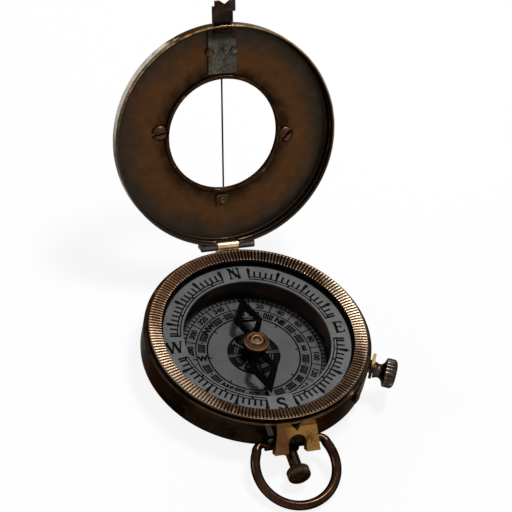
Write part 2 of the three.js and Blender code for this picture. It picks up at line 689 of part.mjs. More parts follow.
function returnSpring() {
  const path = new Helix(
    SPRING_R, wellOuterR + SPRING_WIRE_R + SLIDE_GAP, lugIn - SPRING_WIRE_R - SLIDE_GAP, SPRING_TURNS);
  return studPlaced(new THREE.ExtrudeGeometry(wireSection(SPRING_WIRE_R, 6), {
    steps: SPRING_TURNS * SPRING_STEPS, bevelEnabled: false, extrudePath: path }));
}

// Front bracket with the stud's boss and the ring's bores, the sight block in its recess and its screws
function sightSolid(grow) {
  const archRise = SIGHT_ARCH - SIGHT_ARCH_HALF;
  const shape = outline([
    [-SIGHT_HALF_FOOT - grow, -grow], [-SIGHT_ARCH_HALF, -grow], [-SIGHT_ARCH_HALF, archRise],
  ]);
  shape.absarc(0, archRise, SIGHT_ARCH_HALF, Math.PI, 0, true);
  [[SIGHT_ARCH_HALF, -grow], [SIGHT_HALF_FOOT + grow, -grow], [SIGHT_HALF_TOP + grow, SIGHT_HEIGHT + grow],
    [SIGHT_NOTCH_HALF, SIGHT_HEIGHT + grow], [0, SIGHT_HEIGHT - SIGHT_NOTCH],
    [-SIGHT_NOTCH_HALF, SIGHT_HEIGHT + grow], [-SIGHT_HALF_TOP - grow, SIGHT_HEIGHT + grow],
  ].forEach(([x, y]) => shape.lineTo(x, y));
  return sightPlaced(plate(shape, SIGHT_THICK + grow).translate(0, 0, -SIGHT_THICK - grow));
}

function sightPlaced(geometry) {
  return geometry.rotateX(rad(90 - SIGHT_TILT)).translate(SIGHT_X, -sightFootY, SIGHT_FOOT_Z);
}

const caseEnvelope = (gap) => disc(CASE_R + gap, -1, bezelTop + LID_DEPTH);
const stemClearance = () => studPlaced(disc(STUD_R + SLIDE_GAP, lowerBore, studEnd, SMALL_SIDES));

const sightBlock = () => cut(sightSolid(0), caseEnvelope(0.35), stemClearance());

function sightRecess() {
  const behind = SIGHT_THICK + SEAT_GAP;
  const slab = block(
    -SIGHT_HALF_FOOT - SEAT_GAP, SIGHT_HALF_FOOT + SEAT_GAP, -SIGHT_HEIGHT, 2 * SIGHT_HEIGHT,
    -behind, SIGHT_HEIGHT);
  return sightPlaced(slab);
}

function frontBracket() {
  const body = block(-BRACKET_HALF_X, BRACKET_HALF_X, -bracketFront, -caseBore,
    BRACKET_BOTTOM, shoulder - BRACKET_TOP_DROP);
  const boss = studPlaced(disc(BRACKET_BOSS_R, caseBore, bracketFront, SMALL_SIDES));
  const pinBore = (side) => alongX(
    disc(RING_PIN_R + BORE_GAP, 0, RING_PIN_REACH + SLIDE_GAP + 1, SMALL_SIDES))
    .translate(side > 0 ? BRACKET_HALF_X - RING_PIN_REACH - SLIDE_GAP : -BRACKET_HALF_X - 1,
      -ringPivotY, RING_PIVOT_Z);
  const screwEnd = bracketFront - BRACKET_SCREW_LENGTH - BORE_GAP;
  const screwHole = (side) => towardsFront(
    disc(BRACKET_SCREW_R + BORE_GAP, screwEnd, bracketFront + 1, SMALL_SIDES))
    .translate(side * BRACKET_SCREW_X, 0, BRACKET_SCREW_Z);
  return cut(join(body, boss), caseEnvelope(SEAT_GAP), sightRecess(), stemClearance(),
    pinBore(1), pinBore(-1), screwHole(-1));
}

const bracketScrew = () => towardsFront(
  slottedHead(BRACKET_SCREW_HEAD_R, BRACKET_SCREW_HEAD, BRACKET_SCREW_R, BRACKET_SCREW_LENGTH, 0.3)
    .translate(0, 0, bracketFront + GLASS_SEAT))
  .translate(-BRACKET_SCREW_X, 0, BRACKET_SCREW_Z);

class RingArc extends THREE.Curve {
  getPoint(t, target = new THREE.Vector3()) {
    const start = Math.asin(RING_END_X / RING_R);
    const angle = start + (2 * Math.PI - 2 * start) * t;
    return target.set(RING_R * Math.sin(angle), RING_R * Math.cos(angle) - ringReach, 0);
  }
}

function thumbRing() {
  const wire = new THREE.ExtrudeGeometry(wireSection(RING_WIRE_R, WIRE_SIDES), {
    steps: RING_STEPS, bevelEnabled: false, extrudePath: new RingArc() });
  const end = (side) => [
    new THREE.SphereGeometry(RING_WIRE_R, WIRE_SIDES, 8).translate(side * RING_END_X, 0, 0),
    alongX(disc(RING_PIN_R, BRACKET_HALF_X - RING_PIN_REACH, RING_END_X, SMALL_SIDES))
      .rotateZ(side > 0 ? 0 : Math.PI),
  ];
  return join(wire, ...end(1), ...end(-1)).rotateX(ringSlope).translate(0, -ringPivotY, RING_PIVOT_Z);
}

// Bezel clamp, made along +X and turned to its place round the case
const shoeIn = CASE_R + 0.35;
const shoeOut = shoeIn + SHOE_THICK;
const knobIn = shoeOut + SLIDE_GAP;
const clampPlaced = (geometry) => geometry.rotateY(Math.PI / 2).translate(0, 0, CLAMP_Z);

function clampKnob() {
  const capIn = clampEnd - CLAMP_CAP;
  const cap = knurled(CLAMP_CAP_R, CLAMP_CAP - CLAMP_CROWN, CLAMP_KNURLS, capIn);
  const crown = turned([
    [0, clampEnd - CLAMP_CROWN], [CLAMP_CAP_R - KNURL_DEPTH, clampEnd - CLAMP_CROWN],
    [CLAMP_CAP_R - 0.8, clampEnd - 0.15], [CLAMP_CAP_R - 1.4, clampEnd], [0, clampEnd],
  ], 2 * SMALL_SIDES);
  const neck = turned([
    [0, knobIn], [CLAMP_FLANGE_R, knobIn], [CLAMP_FLANGE_R, knobIn + 0.4], [CLAMP_NECK_R, knobIn + 0.9],
    [CLAMP_NECK_R, capIn - 0.9], [CLAMP_NECK_R + 0.4 * CLAMP_FLARE, capIn - 0.4],
    [CLAMP_NECK_R + CLAMP_FLARE, capIn], [CLAMP_NECK_R + CLAMP_FLARE, capIn + 0.5], [0, capIn + 0.5],
  ], 2 * SMALL_SIDES);
  const bore = disc(CLAMP_SCREW_R + BORE_GAP, knobIn - 1, clampEnd - CLAMP_CROWN, SMALL_SIDES);
  return clampPlaced(cut(join(cap, crown, neck), bore));
}

const clampScrew = () => clampPlaced(
  disc(CLAMP_SCREW_R, clampScrewIn, clampEnd - CLAMP_CROWN - SLIDE_GAP, SMALL_SIDES));

function clampShoe() {
  const tab = block(shoeIn, shoeOut, -SHOE_HALF_WIDTH, SHOE_HALF_WIDTH, SHOE_BOTTOM, SHOE_TOP);
  const foot = block(skirtR + SHOE_TRAVEL + SEAT_GAP, shoeIn + 0.1, -SHOE_FOOT_HALF, SHOE_FOOT_HALF,
    SHOE_FOOT_BOTTOM, SHOE_FOOT_TOP);
  const hole = clampPlaced(disc(CLAMP_SCREW_R + BORE_GAP, lowerBore - 1, knobIn + 1, SMALL_SIDES));
  return cut(join(tab, foot), hole);
}

const stopLug = () => block(
  CASE_R + GLASS_SEAT, CASE_R + STOP_LUG_THICK, -STOP_LUG_HALF, STOP_LUG_HALF,
  STOP_LUG_BOTTOM, STOP_LUG_BOTTOM + STOP_LUG_HEIGHT).rotateZ(rad(STOP_LUG_ANGLE));

// Hinge
const knuckle = (x0, x1) => alongX(disc(KNUCKLE_R, x0, x1, SMALL_SIDES)).translate(0, hingeY, hingeZ);
const hingeBore = () => alongX(disc(HINGE_PIN_R + BORE_GAP, -HINGE_HALF - 1, HINGE_HALF + 1, SMALL_SIDES))
  .translate(0, hingeY, hingeZ);

function hingeCaseLeaf() {
  const leaf = block(-CASE_KNUCKLE_HALF, CASE_KNUCKLE_HALF, caseBore, hingeY + CASE_LEAF_OUT,
    hingeZ - CASE_LEAF_DROP, hingeZ - 0.3);
  const caseRoom = disc(CASE_R + GLASS_SEAT, 0, shoulder + GLASS_SEAT);
  const bezelRoom = disc(bezelR + SEAT_GAP, shoulder, hingeZ + 1);
  const whole = join(knuckle(-CASE_KNUCKLE_HALF, CASE_KNUCKLE_HALF), leaf);
  return cut(whole, caseRoom, bezelRoom, hingeBore());
}

const hingePin = () => alongX(disc(HINGE_PIN_R, -HINGE_HALF - 0.2, HINGE_HALF + 0.2, SMALL_SIDES))
  .translate(0, hingeY, hingeZ);

const lidEnvelope = (gap) => disc(lidR + gap, lidRim - 1, lidRim + LID_DEPTH + 1);
const leafRivetZ = hingeZ + (LID_LEAF_LOW + LID_LEAF_HIGH) / 2;

function hingeLidLeaf() {
  const inner = CASE_KNUCKLE_HALF + SLIDE_GAP;
  const outer = hingeY - SEAT_GAP + LEAF_THICK;
  const arm = (x0, x1) => block(x0, x1, lidR - 2, outer, hingeZ, hingeZ + LID_LEAF_LOW + 0.2);
  const top = block(-HINGE_HALF, HINGE_HALF, lidR - 2, outer, hingeZ + LID_LEAF_LOW, hingeZ + LID_LEAF_HIGH);
  const leaf = cut(join(top, arm(inner, HINGE_HALF), arm(-HINGE_HALF, -inner)), lidEnvelope(SEAT_GAP));
  const rivetHoles = [-1, 1].map((side) => leafRivetHole(side));
  const whole = join(leaf, knuckle(inner, HINGE_HALF), knuckle(-HINGE_HALF, -inner));
  return cut(whole, hingeBore(), ...rivetHoles);
}

const leafRivetHole = (side) => disc(RIVET_SHANK_R + BORE_GAP, lidR - 3, hingeY + 3, RIVET_SIDES)
  .rotateX(-Math.PI / 2).translate(side * leafRivetX, 0, leafRivetZ);

const leafRivet = (side) => rivet(LEAF_RIVET_R, LEAF_THICK + LID_WALL).rotateX(-Math.PI / 2)
  .translate(side * leafRivetX, hingeY - SEAT_GAP + LEAF_THICK + GLASS_SEAT, leafRivetZ);

// Lid, made shut. Its inside faces down and its window is centred on the case.
function lidShell() {
  const shell = turned([
    [lidBore + LID_REBATE, 0], [lidR, 0], [lidR, LID_DEPTH - LID_EDGE], [lidR - LID_EDGE, LID_DEPTH],
    [WINDOW_R, LID_DEPTH], [WINDOW_R, lidPlateInside], [lidBore, lidPlateInside],
    [lidBore, LID_REBATE_DEPTH + LID_REBATE], [lidBore + LID_REBATE, LID_REBATE_DEPTH],
  ]).translate(0, 0, lidRim);
  const hingeNotch = block(-hingeNotchHalf, hingeNotchHalf, lidR / 2, lidR + 1,
    lidRim - 1, hingeZ + KNUCKLE_R + SLIDE_GAP);
  const hookSlot = block(-HOOK_TANG_HALF - SLIDE_GAP, HOOK_TANG_HALF + SLIDE_GAP, -lidR - 1, -lidBore + 1,
    lidRim + HOOK_DEPTH - SLIDE_GAP, lidRim + HOOK_DEPTH + HOOK_THICK + SLIDE_GAP);
  const screwHoles = [-1, 1].map((side) => lidScrewPlaced(
    disc(LID_SCREW_R + BORE_GAP, -LID_DEPTH, LID_DEPTH, SMALL_SIDES), side));
  const leafHoles = [-1, 1].map((side) => leafRivetHole(side));
  const catchHoles = [-1, 1].map((side) => catchRivetPlaced(
    disc(RIVET_SHANK_R + BORE_GAP, -LID_DEPTH, LID_DEPTH, RIVET_SIDES), side));
  const anchorHole = anchorRivetPlaced(disc(RIVET_SHANK_R + BORE_GAP, -LID_DEPTH, LID_DEPTH, RIVET_SIDES));
  return cut(shell, hingeNotch, hookSlot, ...screwHoles, ...leafHoles, ...catchHoles, anchorHole);
}

// Fittings on the inside of the lid hang down from its plate, so they are flipped over there.
const lidInside = (geometry, drop = SEAT_GAP) =>
  geometry.rotateX(Math.PI).translate(0, 0, lidRim + lidPlateInside - drop);

function lidScrewPlaced(geometry, side) {
  const angle = rad(LID_SCREW_TURN);
  return lidInside(geometry).translate(
    side * lidScrewCircle * Math.cos(angle), side * lidScrewCircle * Math.sin(angle), 0);
}

const lidScrew = (side, slotTurn) => lidScrewPlaced(
  slottedHead(LID_SCREW_HEAD_R, LID_SCREW_HEAD, LID_SCREW_R, LID_PLATE, LID_SCREW_SLOT)
    .rotateZ(rad(slotTurn)), side);

function windowRing() {
  const outer = WINDOW_R + WINDOW_RING_WIDTH;
  const ring = turned([
    [WINDOW_R + BORE_GAP, 0], [outer, 0], [outer, WINDOW_RING_RISE * 0.7], [outer - 0.3, WINDOW_RING_RISE],
    [WINDOW_R + BORE_GAP + 0.3, WINDOW_RING_RISE], [WINDOW_R + BORE_GAP, WINDOW_RING_RISE * 0.7],
  ]);
  const screwRoom = [-1, 1].map((side) => lidScrewPlaced(
    disc(LID_SCREW_HEAD_R + SLIDE_GAP, -1, LID_SCREW_HEAD + 1, SMALL_SIDES), side));
  return cut(lidInside(ring), ...screwRoom);
}

const hairline = () => towardsFront(disc(HAIRLINE_R, -WINDOW_R + SEAT_GAP, WINDOW_R - SEAT_GAP, 8))
  .translate(0, 0, lidRim + LID_DEPTH - LID_PLATE / 2);

const catchRivetPlaced = (geometry, side) => lidInside(geometry, 2 * SEAT_GAP + CATCH_THICK)
  .translate(side * CATCH_RIVET_X, -catchRivetY, 0);

function catchPlate() {
  const strip = lidInside(block(-CATCH_HALF, CATCH_HALF, catchInner, catchOuter, 0, CATCH_THICK));
  const holes = [-1, 1].map((side) => catchRivetPlaced(
    disc(RIVET_SHANK_R + BORE_GAP, -LID_DEPTH, LID_DEPTH, RIVET_SIDES), side));
  return cut(strip, ...holes);
}

const catchRivet = (side) => catchRivetPlaced(rivet(CATCH_RIVET_R, CATCH_THICK + LID_PLATE), side);

// The hook's tang lies under the catch plate, its neck leaves the lid wall and its lip drops in front.
function catchHook() {
  const low = lidRim + HOOK_DEPTH;
  const neckIn = lidR + SLIDE_GAP;
  const tang = block(
    -HOOK_TANG_HALF, HOOK_TANG_HALF, -neckIn - 0.1, -catchOuter + 1.5, low, low + HOOK_THICK * 0.7);
  const neck = block(-HOOK_HALF, HOOK_HALF, -hookElbow, -neckIn, low, low + HOOK_THICK);
  const drop = block(-HOOK_HALF, HOOK_HALF, -hookElbow - HOOK_THICK, -hookElbow + 0.1,
    lidRim - 0.2, low + HOOK_THICK);
  const lip = block(-HOOK_HALF, HOOK_HALF, -hookTip, -hookElbow, lidRim - 0.2, lidRim - 0.2 + HOOK_THICK);
  const notch = plate(outline([
    [-HOOK_NOTCH_HALF, -hookTip - 0.1], [HOOK_NOTCH_HALF, -hookTip - 0.1], [0, -hookTip + HOOK_NOTCH],
  ]), LID_DEPTH).translate(0, 0, lidRim - 1);
  return cut(join(tang, neck, drop, lip), notch);
}

const anchorRivetPlaced = (geometry) => lidInside(geometry, 2 * SEAT_GAP + ANCHOR_THICK)
  .translate(ANCHOR_X, anchorY, 0);

const anchorPlate = () => cut(
  lidInside(block(
    ANCHOR_X - ANCHOR_HALF, ANCHOR_X + ANCHOR_HALF, -anchorY - ANCHOR_HALF, -anchorY + ANCHOR_HALF,
    0, ANCHOR_THICK)),
  anchorRivetPlaced(disc(RIVET_SHANK_R + BORE_GAP, -LID_DEPTH, LID_DEPTH, RIVET_SIDES)));

const anchorRivet = () => anchorRivetPlaced(rivet(CATCH_RIVET_R, ANCHOR_THICK + LID_PLATE));

// Assembly
add(compass, 'case_body', caseBody(), bronze);
add(compass, 'back_cover', backCover(), bronze);
COVER_SCREW_ANGLES.forEach((angle, i) => add(compass, `back_screw_${i + 1}`, backScrew(angle), steel));
add(compass, 'well_liner', wellLiner(), bronze);
add(compass, 'dial_plate', dialPlate(), enamel);
add(compass, 'pivot_post', pivotPost(), brass);
add(compass, 'pivot_pin', pivotPin(), steel);
add(compass, 'bezel_ring', bezelRing(), ribBrass);
add(compass, 'crystal_glass', crystalGlass(), glassy);
add(compass, 'chapter_ring', chapterRing(), silvered);
add(compass, 'retaining_ring', retainingRing(), brass);
add(compass, 'needle_blade', needleBlade(), blued);
add(compass, 'hub_cap', hubCap(), brass);
add(compass, 'pivot_jewel', jewel(), agate);
add(compass, 'lifter_sleeve', lifterSleeve(), brass);
add(compass, 'lifter_slide', lifterSlide(), steel);
add(compass, 'stud_plunger', studPlunger(), steel);
add(compass, 'stud_cap', studCap(), copper);
add(compass, 'return_spring', returnSpring(), steel);
add(compass, 'front_bracket', frontBracket(), darkSteel);
add(compass, 'bracket_screw', bracketScrew(), steel);
add(compass, 'sight_block', sightBlock(), brass);
add(compass, 'thumb_ring', thumbRing(), copper);
add(compass, 'stop_lug', stopLug(), bronze);
add(compass, 'hinge_case_leaf', hingeCaseLeaf(), brass);
add(compass, 'hinge_pin', hingePin(), steel);

add(clampGroup, 'clamp_knob', clampKnob(), copper);
add(clampGroup, 'clamp_screw', clampScrew(), steel);
add(clampGroup, 'clamp_shoe', clampShoe(), brass);
clampGroup.rotation.z = rad(CLAMP_ANGLE);
compass.add(clampGroup);

const lidPieces = [
  ['lid_shell', lidShell(), lidBronze],
  ['window_ring', windowRing(), copper],
  ['hairline', hairline(), blued],
  ['catch_plate', catchPlate(), steel],
  ['catch_rivet_left', catchRivet(-1), brass],
  ['catch_rivet_right', catchRivet(1), steel],
  ['catch_hook', catchHook(), copper],
  ['lid_screw_left', lidScrew(-1, 8), copper],
  ['lid_screw_right', lidScrew(1, 45), copper],
  ['anchor_plate', anchorPlate(), steel],
  ['anchor_rivet', anchorRivet(), copper],
  ['hinge_lid_leaf', hingeLidLeaf(), steel],
  ['leaf_rivet_left', leafRivet(-1), steel],
  ['leaf_rivet_right', leafRivet(1), steel],
];
lidPieces.forEach(([name, geometry, material]) => {
  add(lidGroup, name, geometry.translate(0, -hingeY, -hingeZ), material);
});
lidGroup.position.set(0, hingeY, hingeZ);
lidGroup.rotation.x = -rad(LID_OPEN);
compass.add(lidGroup);

export default compass;
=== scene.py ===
"""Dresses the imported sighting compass.

It has an aged bronze case, a ribbed bezel, printed dials, a pierced needle, a lid and front fittings.
Every form is made in millimetres in the part's own frame and becomes a Blender mesh in metres.
"""

import json
import logging
import math
from dataclasses import dataclass, field
from enum import Enum
from typing import Callable, Iterable, Sequence

import bmesh
import bpy
from mathutils import Matrix, Vector

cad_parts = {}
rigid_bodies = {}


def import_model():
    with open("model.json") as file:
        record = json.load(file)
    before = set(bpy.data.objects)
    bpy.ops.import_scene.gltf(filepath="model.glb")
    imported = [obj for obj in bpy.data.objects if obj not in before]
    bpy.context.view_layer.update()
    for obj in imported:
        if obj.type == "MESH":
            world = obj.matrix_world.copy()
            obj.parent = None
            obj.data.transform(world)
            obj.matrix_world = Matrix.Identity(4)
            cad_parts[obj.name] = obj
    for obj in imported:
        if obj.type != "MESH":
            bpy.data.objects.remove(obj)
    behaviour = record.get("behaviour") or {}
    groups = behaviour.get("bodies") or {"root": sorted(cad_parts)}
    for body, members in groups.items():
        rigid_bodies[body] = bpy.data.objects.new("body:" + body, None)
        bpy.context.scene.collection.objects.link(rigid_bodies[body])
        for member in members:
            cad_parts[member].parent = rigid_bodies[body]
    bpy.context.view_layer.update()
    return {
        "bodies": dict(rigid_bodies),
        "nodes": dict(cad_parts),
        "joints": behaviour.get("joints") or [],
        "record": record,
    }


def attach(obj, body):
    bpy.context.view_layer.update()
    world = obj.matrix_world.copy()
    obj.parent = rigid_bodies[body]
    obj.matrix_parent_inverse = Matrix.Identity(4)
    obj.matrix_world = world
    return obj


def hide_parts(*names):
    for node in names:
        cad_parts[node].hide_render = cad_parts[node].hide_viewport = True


LOG = logging.getLogger("compass")
MM = 0.001
TINY = 1e-6
QUARTER = math.pi / 2
WHITE = (1.0, 1.0, 1.0, 1.0)

# The value that noise swings about
MIDDLE = 0.5

# Angles above which an edge is shaded sharp or rounded off, and below which a seam is flat
SMOOTH_ANGLE = math.radians(34)
BEVEL_ANGLE = math.radians(32)
FLAT_ANGLE = math.radians(0.6)

# Points round a circle, from large turned pieces down to drilled holes, and along a letter's curves
TURNED_SIDES = 192
PRINTED_SIDES = 144
FINE_SIDES = 96
SMALL_SIDES = 48
DRILL_SIDES = 24
LETTER_STEPS = 3

# Millimetres from a round to the point that supports it, and from a cut to the end of its cutter
SUPPORT = 0.35
PAST = 1.0

# Most of an edge that the round at one of its ends may take
ROUND_SHARE = 0.45

# Points along one knurl, and the power that shapes its crest
KNURL_POINTS = 8
KNURL_CREST = 0.7

# A corner of a Profile is (radius, height, round), and a Tick is two radii and one or two widths
Pair = tuple[float, float]
Corner = tuple[float, float, float]
Colour = tuple[float, float, float]
Profile = tuple[Corner, ...]
Tick = tuple[float, ...]
Waver = Callable[[int, float, float, float], Pair]


class Slot(Enum):
    """The record's material slots."""

    CASE = "case_bronze"
    LID = "lid_bronze"
    RIB = "rib_brass"
    BRASS = "bright_brass"
    COPPER = "copper_brown"
    STEEL = "worn_steel"
    DARK = "dark_steel"
    SILVER = "silvered_ring"
    ENAMEL = "dial_enamel"
    BLUED = "blued_steel"
    AGATE = "agate"
    GLASS = "clear_glass"


class Grain(Enum):
    """How finely a noise is broken up, as its number of octaves."""

    PLAIN = 2.0
    SOFT = 3.0
    CLOUDY = 4.0
    BLOTCHED = 5.0
    CRUMBLED = 6.0


class Wire:
    """One output of a shader node, with arithmetic that adds Math nodes."""

    def __init__(self, graph: "Graph", socket: bpy.types.NodeSocket) -> None:
        """Keeps the graph and the socket that the value comes from."""
        self.graph = graph
        self.socket = socket

    def _math(self, operation: str, first: "Wire | float", second: "Wire | float") -> "Wire":
        """One Math node on two values."""
        return self.graph.node("ShaderNodeMath", {"operation": operation}, {0: first, 1: second})

    def __add__(self, other: "Wire | float") -> "Wire":
        """This value plus another."""
        return self._math("ADD", self, other)

    __radd__ = __add__

    def __sub__(self, other: "Wire | float") -> "Wire":
        """This value less another."""
        return self._math("SUBTRACT", self, other)

    def __rsub__(self, other: float) -> "Wire":
        """A number less this value."""
        return self._math("SUBTRACT", other, self)

    def __mul__(self, other: "Wire | float") -> "Wire":
        """This value times another."""
        return self._math("MULTIPLY", self, other)

    __rmul__ = __mul__


class Graph:
    """The node tree of one material or of the world."""

    def __init__(self, tree: bpy.types.NodeTree) -> None:
        """Takes over a tree and clears it."""
        self.tree = tree
        tree.nodes.clear()

    def node(
        self,
        kind: str,
        settings: dict[str, object] | None = None,
        sockets: dict[str | int, object] | None = None,
        output: str | int = 0,
    ) -> Wire:
        """Adds a node.

        Args:
            kind: Blender's type name.
            settings: Attributes set first.
            sockets: Values or Wires for its inputs, by name or place.
            output: The output handed back.

        Returns:
            A Wire from the chosen output, or from nothing where the node has no outputs.
        """
        made = self.tree.nodes.new(kind)
        for key, value in (settings or {}).items():
            setattr(made, key, value)
        for key, value in (sockets or {}).items():
            if isinstance(value, Wire):
                self.tree.links.new(value.socket, made.inputs[key])
            else:
                made.inputs[key].default_value = value
        return Wire(self, made.outputs[output] if len(made.outputs) else None)

    def vector(self, operation: str, place: Wire, other: Corner, output: str = "Vector") -> Wire:
        """One Vector Math node on a place and three numbers."""
        return self.node("ShaderNodeVectorMath", {"operation": operation}, {0: place, 1: other}, output)

    def stretched(self, place: Wire, by: Corner) -> Wire:
        """A place with its three axes scaled apart."""
        return self.vector("MULTIPLY", place, by)

    def towards(self, place: Wire, side: Corner) -> Wire:
        """How far a place lies along a direction."""
        return self.vector("DOT_PRODUCT", place, side, "Value")

    def distance(self, place: Wire, spot: Corner) -> Wire:
        """Distance of a place from a spot."""
        return self.vector("DISTANCE", place, spot, "Value")

    def radius(self, place: Wire) -> Wire:
        """Distance from the Z axis of the piece."""
        return self.distance(self.stretched(place, (1.0, 1.0, 0.0)), (0.0, 0.0, 0.0))

    def millimetres(self) -> Wire:
        """The place on the piece, in millimetres of its own frame."""
        return self.stretched(self.node("ShaderNodeTexCoord", output="Object"), (1 / MM, 1 / MM, 1 / MM))

    def part(self, place: Wire, axis: str) -> Wire:
        """One coordinate of a place."""
        return self.node("ShaderNodeSeparateXYZ", None, {0: place}, output=axis)

    def noise(self, place: Wire, scale: float, grain: Grain = Grain.SOFT, roughness: float = 0.55) -> Wire:
        """Soft noise from 0 to 1 about one half, with its scale per millimetre."""
        return self.node("ShaderNodeTexNoise", None, {
            "Vector": place, "Scale": scale, "Detail": grain.value, "Roughness": roughness})

    def uneven(self, value: Wire, place: Wire, scale: float, grain: Grain, swing: float) -> Wire:
        """A value that noise pushes to and fro over a swing."""
        return value + (self.noise(place, scale, grain) - MIDDLE) * swing

    def spread(self, value: Wire, low: float, high: float) -> Wire:
        """Maps the stretch from low to high onto 0 to 1 and holds it there."""
        return self.node("ShaderNodeMapRange", {"clamp": True}, {0: value, 1: low, 2: high, 3: 0.0, 4: 1.0})

    def mix(self, share: "Wire | float", first: "Wire | Colour", second: "Wire | Colour") -> Wire:
        """A colour between two.

        Args:
            share: Share of the second colour.
            first: The first colour.
            second: The second colour.

        Returns:
            The mixed colour.
        """
        colours = [c if isinstance(c, Wire) else (*c, 1.0) for c in (first, second)]
        return self.node("ShaderNodeMix", {"data_type": "RGBA"}, {
            0: share, 6: colours[0], 7: colours[1]}, output=2)

    def background_seen(self) -> Wire:
        """1 for rays that show the background: from the camera, a mirror or a glass.

        Returns:
            The share.
        """
        camera, glossy, through = (self.node("ShaderNodeLightPath", output=f"Is {kind} Ray")
                                   for kind in ("Camera", "Glossy", "Transmission"))
        return self.spread(camera + glossy + through, 0.0, 1.0)

    def bump(self, height: Wire, strength: float, depth: float) -> Wire:
        """A bent normal from a height, with its depth in millimetres."""
        return self.node("ShaderNodeBump", None, {
            "Height": height, "Strength": strength, "Distance": depth * MM})

    def surface(self, shader: Wire) -> None:
        """Joins a shader to the material's output."""
        self.node("ShaderNodeOutputMaterial", None, {"Surface": shader})

    def principled(self, sockets: dict[str | int, object]) -> None:
        """Makes the surface from the sockets of one Principled shader."""
        self.surface(self.node("ShaderNodeBsdfPrincipled", None, sockets))


def dimmed(colour: Colour, share: float) -> Colour:
    """A colour brought down to a share of its strength."""
    return tuple(share * c for c in colour)


def new_material(name: str) -> tuple[bpy.types.Material, Graph]:
    """An empty node material.

    Args:
        name: Name of the finish.

    Returns:
        The material and the graph of its nodes.
    """
    material = bpy.data.materials.new(name)
    material.use_nodes = True
    return material, Graph(material.node_tree)


@dataclass(frozen=True)
class Coating:
    """A finish that becomes one node material."""

    name: str

    def dress(self, graph: Graph) -> None:
        """Adds the nodes of the finish."""
        raise NotImplementedError

    def build(self) -> bpy.types.Material:
        """Makes the node material.

        Returns:
            The finished material.
        """
        material, graph = new_material(self.name)
        self.dress(graph)
        return material


@dataclass(frozen=True)
class AgedMetal(Coating):
    """Tarnished metal: blotched patina, dark flecks, fine scratches and brighter worn edges."""

    dark: Colour
    mid: Colour
    bright: Colour
    roughness: float = 0.42
    blotch: float = 0.16
    blotch_edges: Pair = (0.36, 0.64)
    cloud: float = 2.7
    cloud_rough: float = 0.3
    fleck: float = 2.2
    fleck_edges: Pair = (0.56, 0.7)
    fleck_share: float = 0.45
    fleck_dark: float = 0.45
    fleck_rough: float = 0.25
    scratch: Corner = (0.35, 0.35, 6.0)
    scratch_edges: Pair = (0.62, 0.72)
    rub: float = 0.22
    wear: float = 0.8
    wear_edges: Pair = (0.53, 0.62)
    wear_patches: Pair = (0.25, 0.6)
    wear_gloss: float = 0.15
    relief: float = 0.12
    relief_depth: float = 0.05
    fleck_relief: float = 0.7
    scratch_relief: float = 0.4
    edge: Colour = (0.45, 0.42, 0.38)

    def base_colour(self, graph: Graph, place: Wire) -> Wire:
        """The patina's colour before flecks and wear."""
        cloud = graph.noise(place, self.blotch, Grain.BLOTCHED)
        return graph.mix(graph.spread(cloud, *self.blotch_edges), self.dark, self.mid)

    def gloss(self, graph: Graph, place: Wire) -> "Wire | float":
        """The roughness before flecks and wear."""
        return self.roughness

    def polish(self, graph: Graph, place: Wire, shade: Wire) -> Wire:
        """The colour after flecks and wear, as it is."""
        return shade

    def dress(self, graph: Graph) -> None:
        """Adds the patina, the flecks, the scratches and the wear.

        Args:
            graph: The material's nodes.
        """
        place = graph.millimetres()
        cloud = graph.noise(place, self.blotch * self.cloud, Grain.CLOUDY)
        speck = graph.noise(place, self.fleck)
        line = graph.noise(graph.stretched(place, self.scratch), 1.0, Grain.PLAIN)
        sharp = graph.node("ShaderNodeNewGeometry", output="Pointiness")
        fleck = graph.spread(speck, *self.fleck_edges) * self.fleck_share
        rubbed = graph.spread(line, *self.scratch_edges) * self.rub
        worn = graph.spread(sharp, *self.wear_edges) * self.wear * graph.spread(cloud, *self.wear_patches)
        shade = graph.mix(fleck, self.base_colour(graph, place), dimmed(self.dark, self.fleck_dark))
        shade = graph.mix(rubbed, shade, self.bright)
        shade = self.polish(graph, place, graph.mix(worn, shade, self.bright))
        rough = (cloud - MIDDLE) * self.cloud_rough + fleck * self.fleck_rough - worn * self.wear_gloss
        height = speck * self.fleck_relief + line * self.scratch_relief
        graph.principled({
            "Base Color": shade,
            "Metallic": 1.0,
            "Specular Tint": (*self.edge, 1.0),
            "Roughness": graph.spread(rough + self.gloss(graph, place), 0.0, 1.0),
            "Normal": graph.bump(height, self.relief, self.relief_depth),
        })


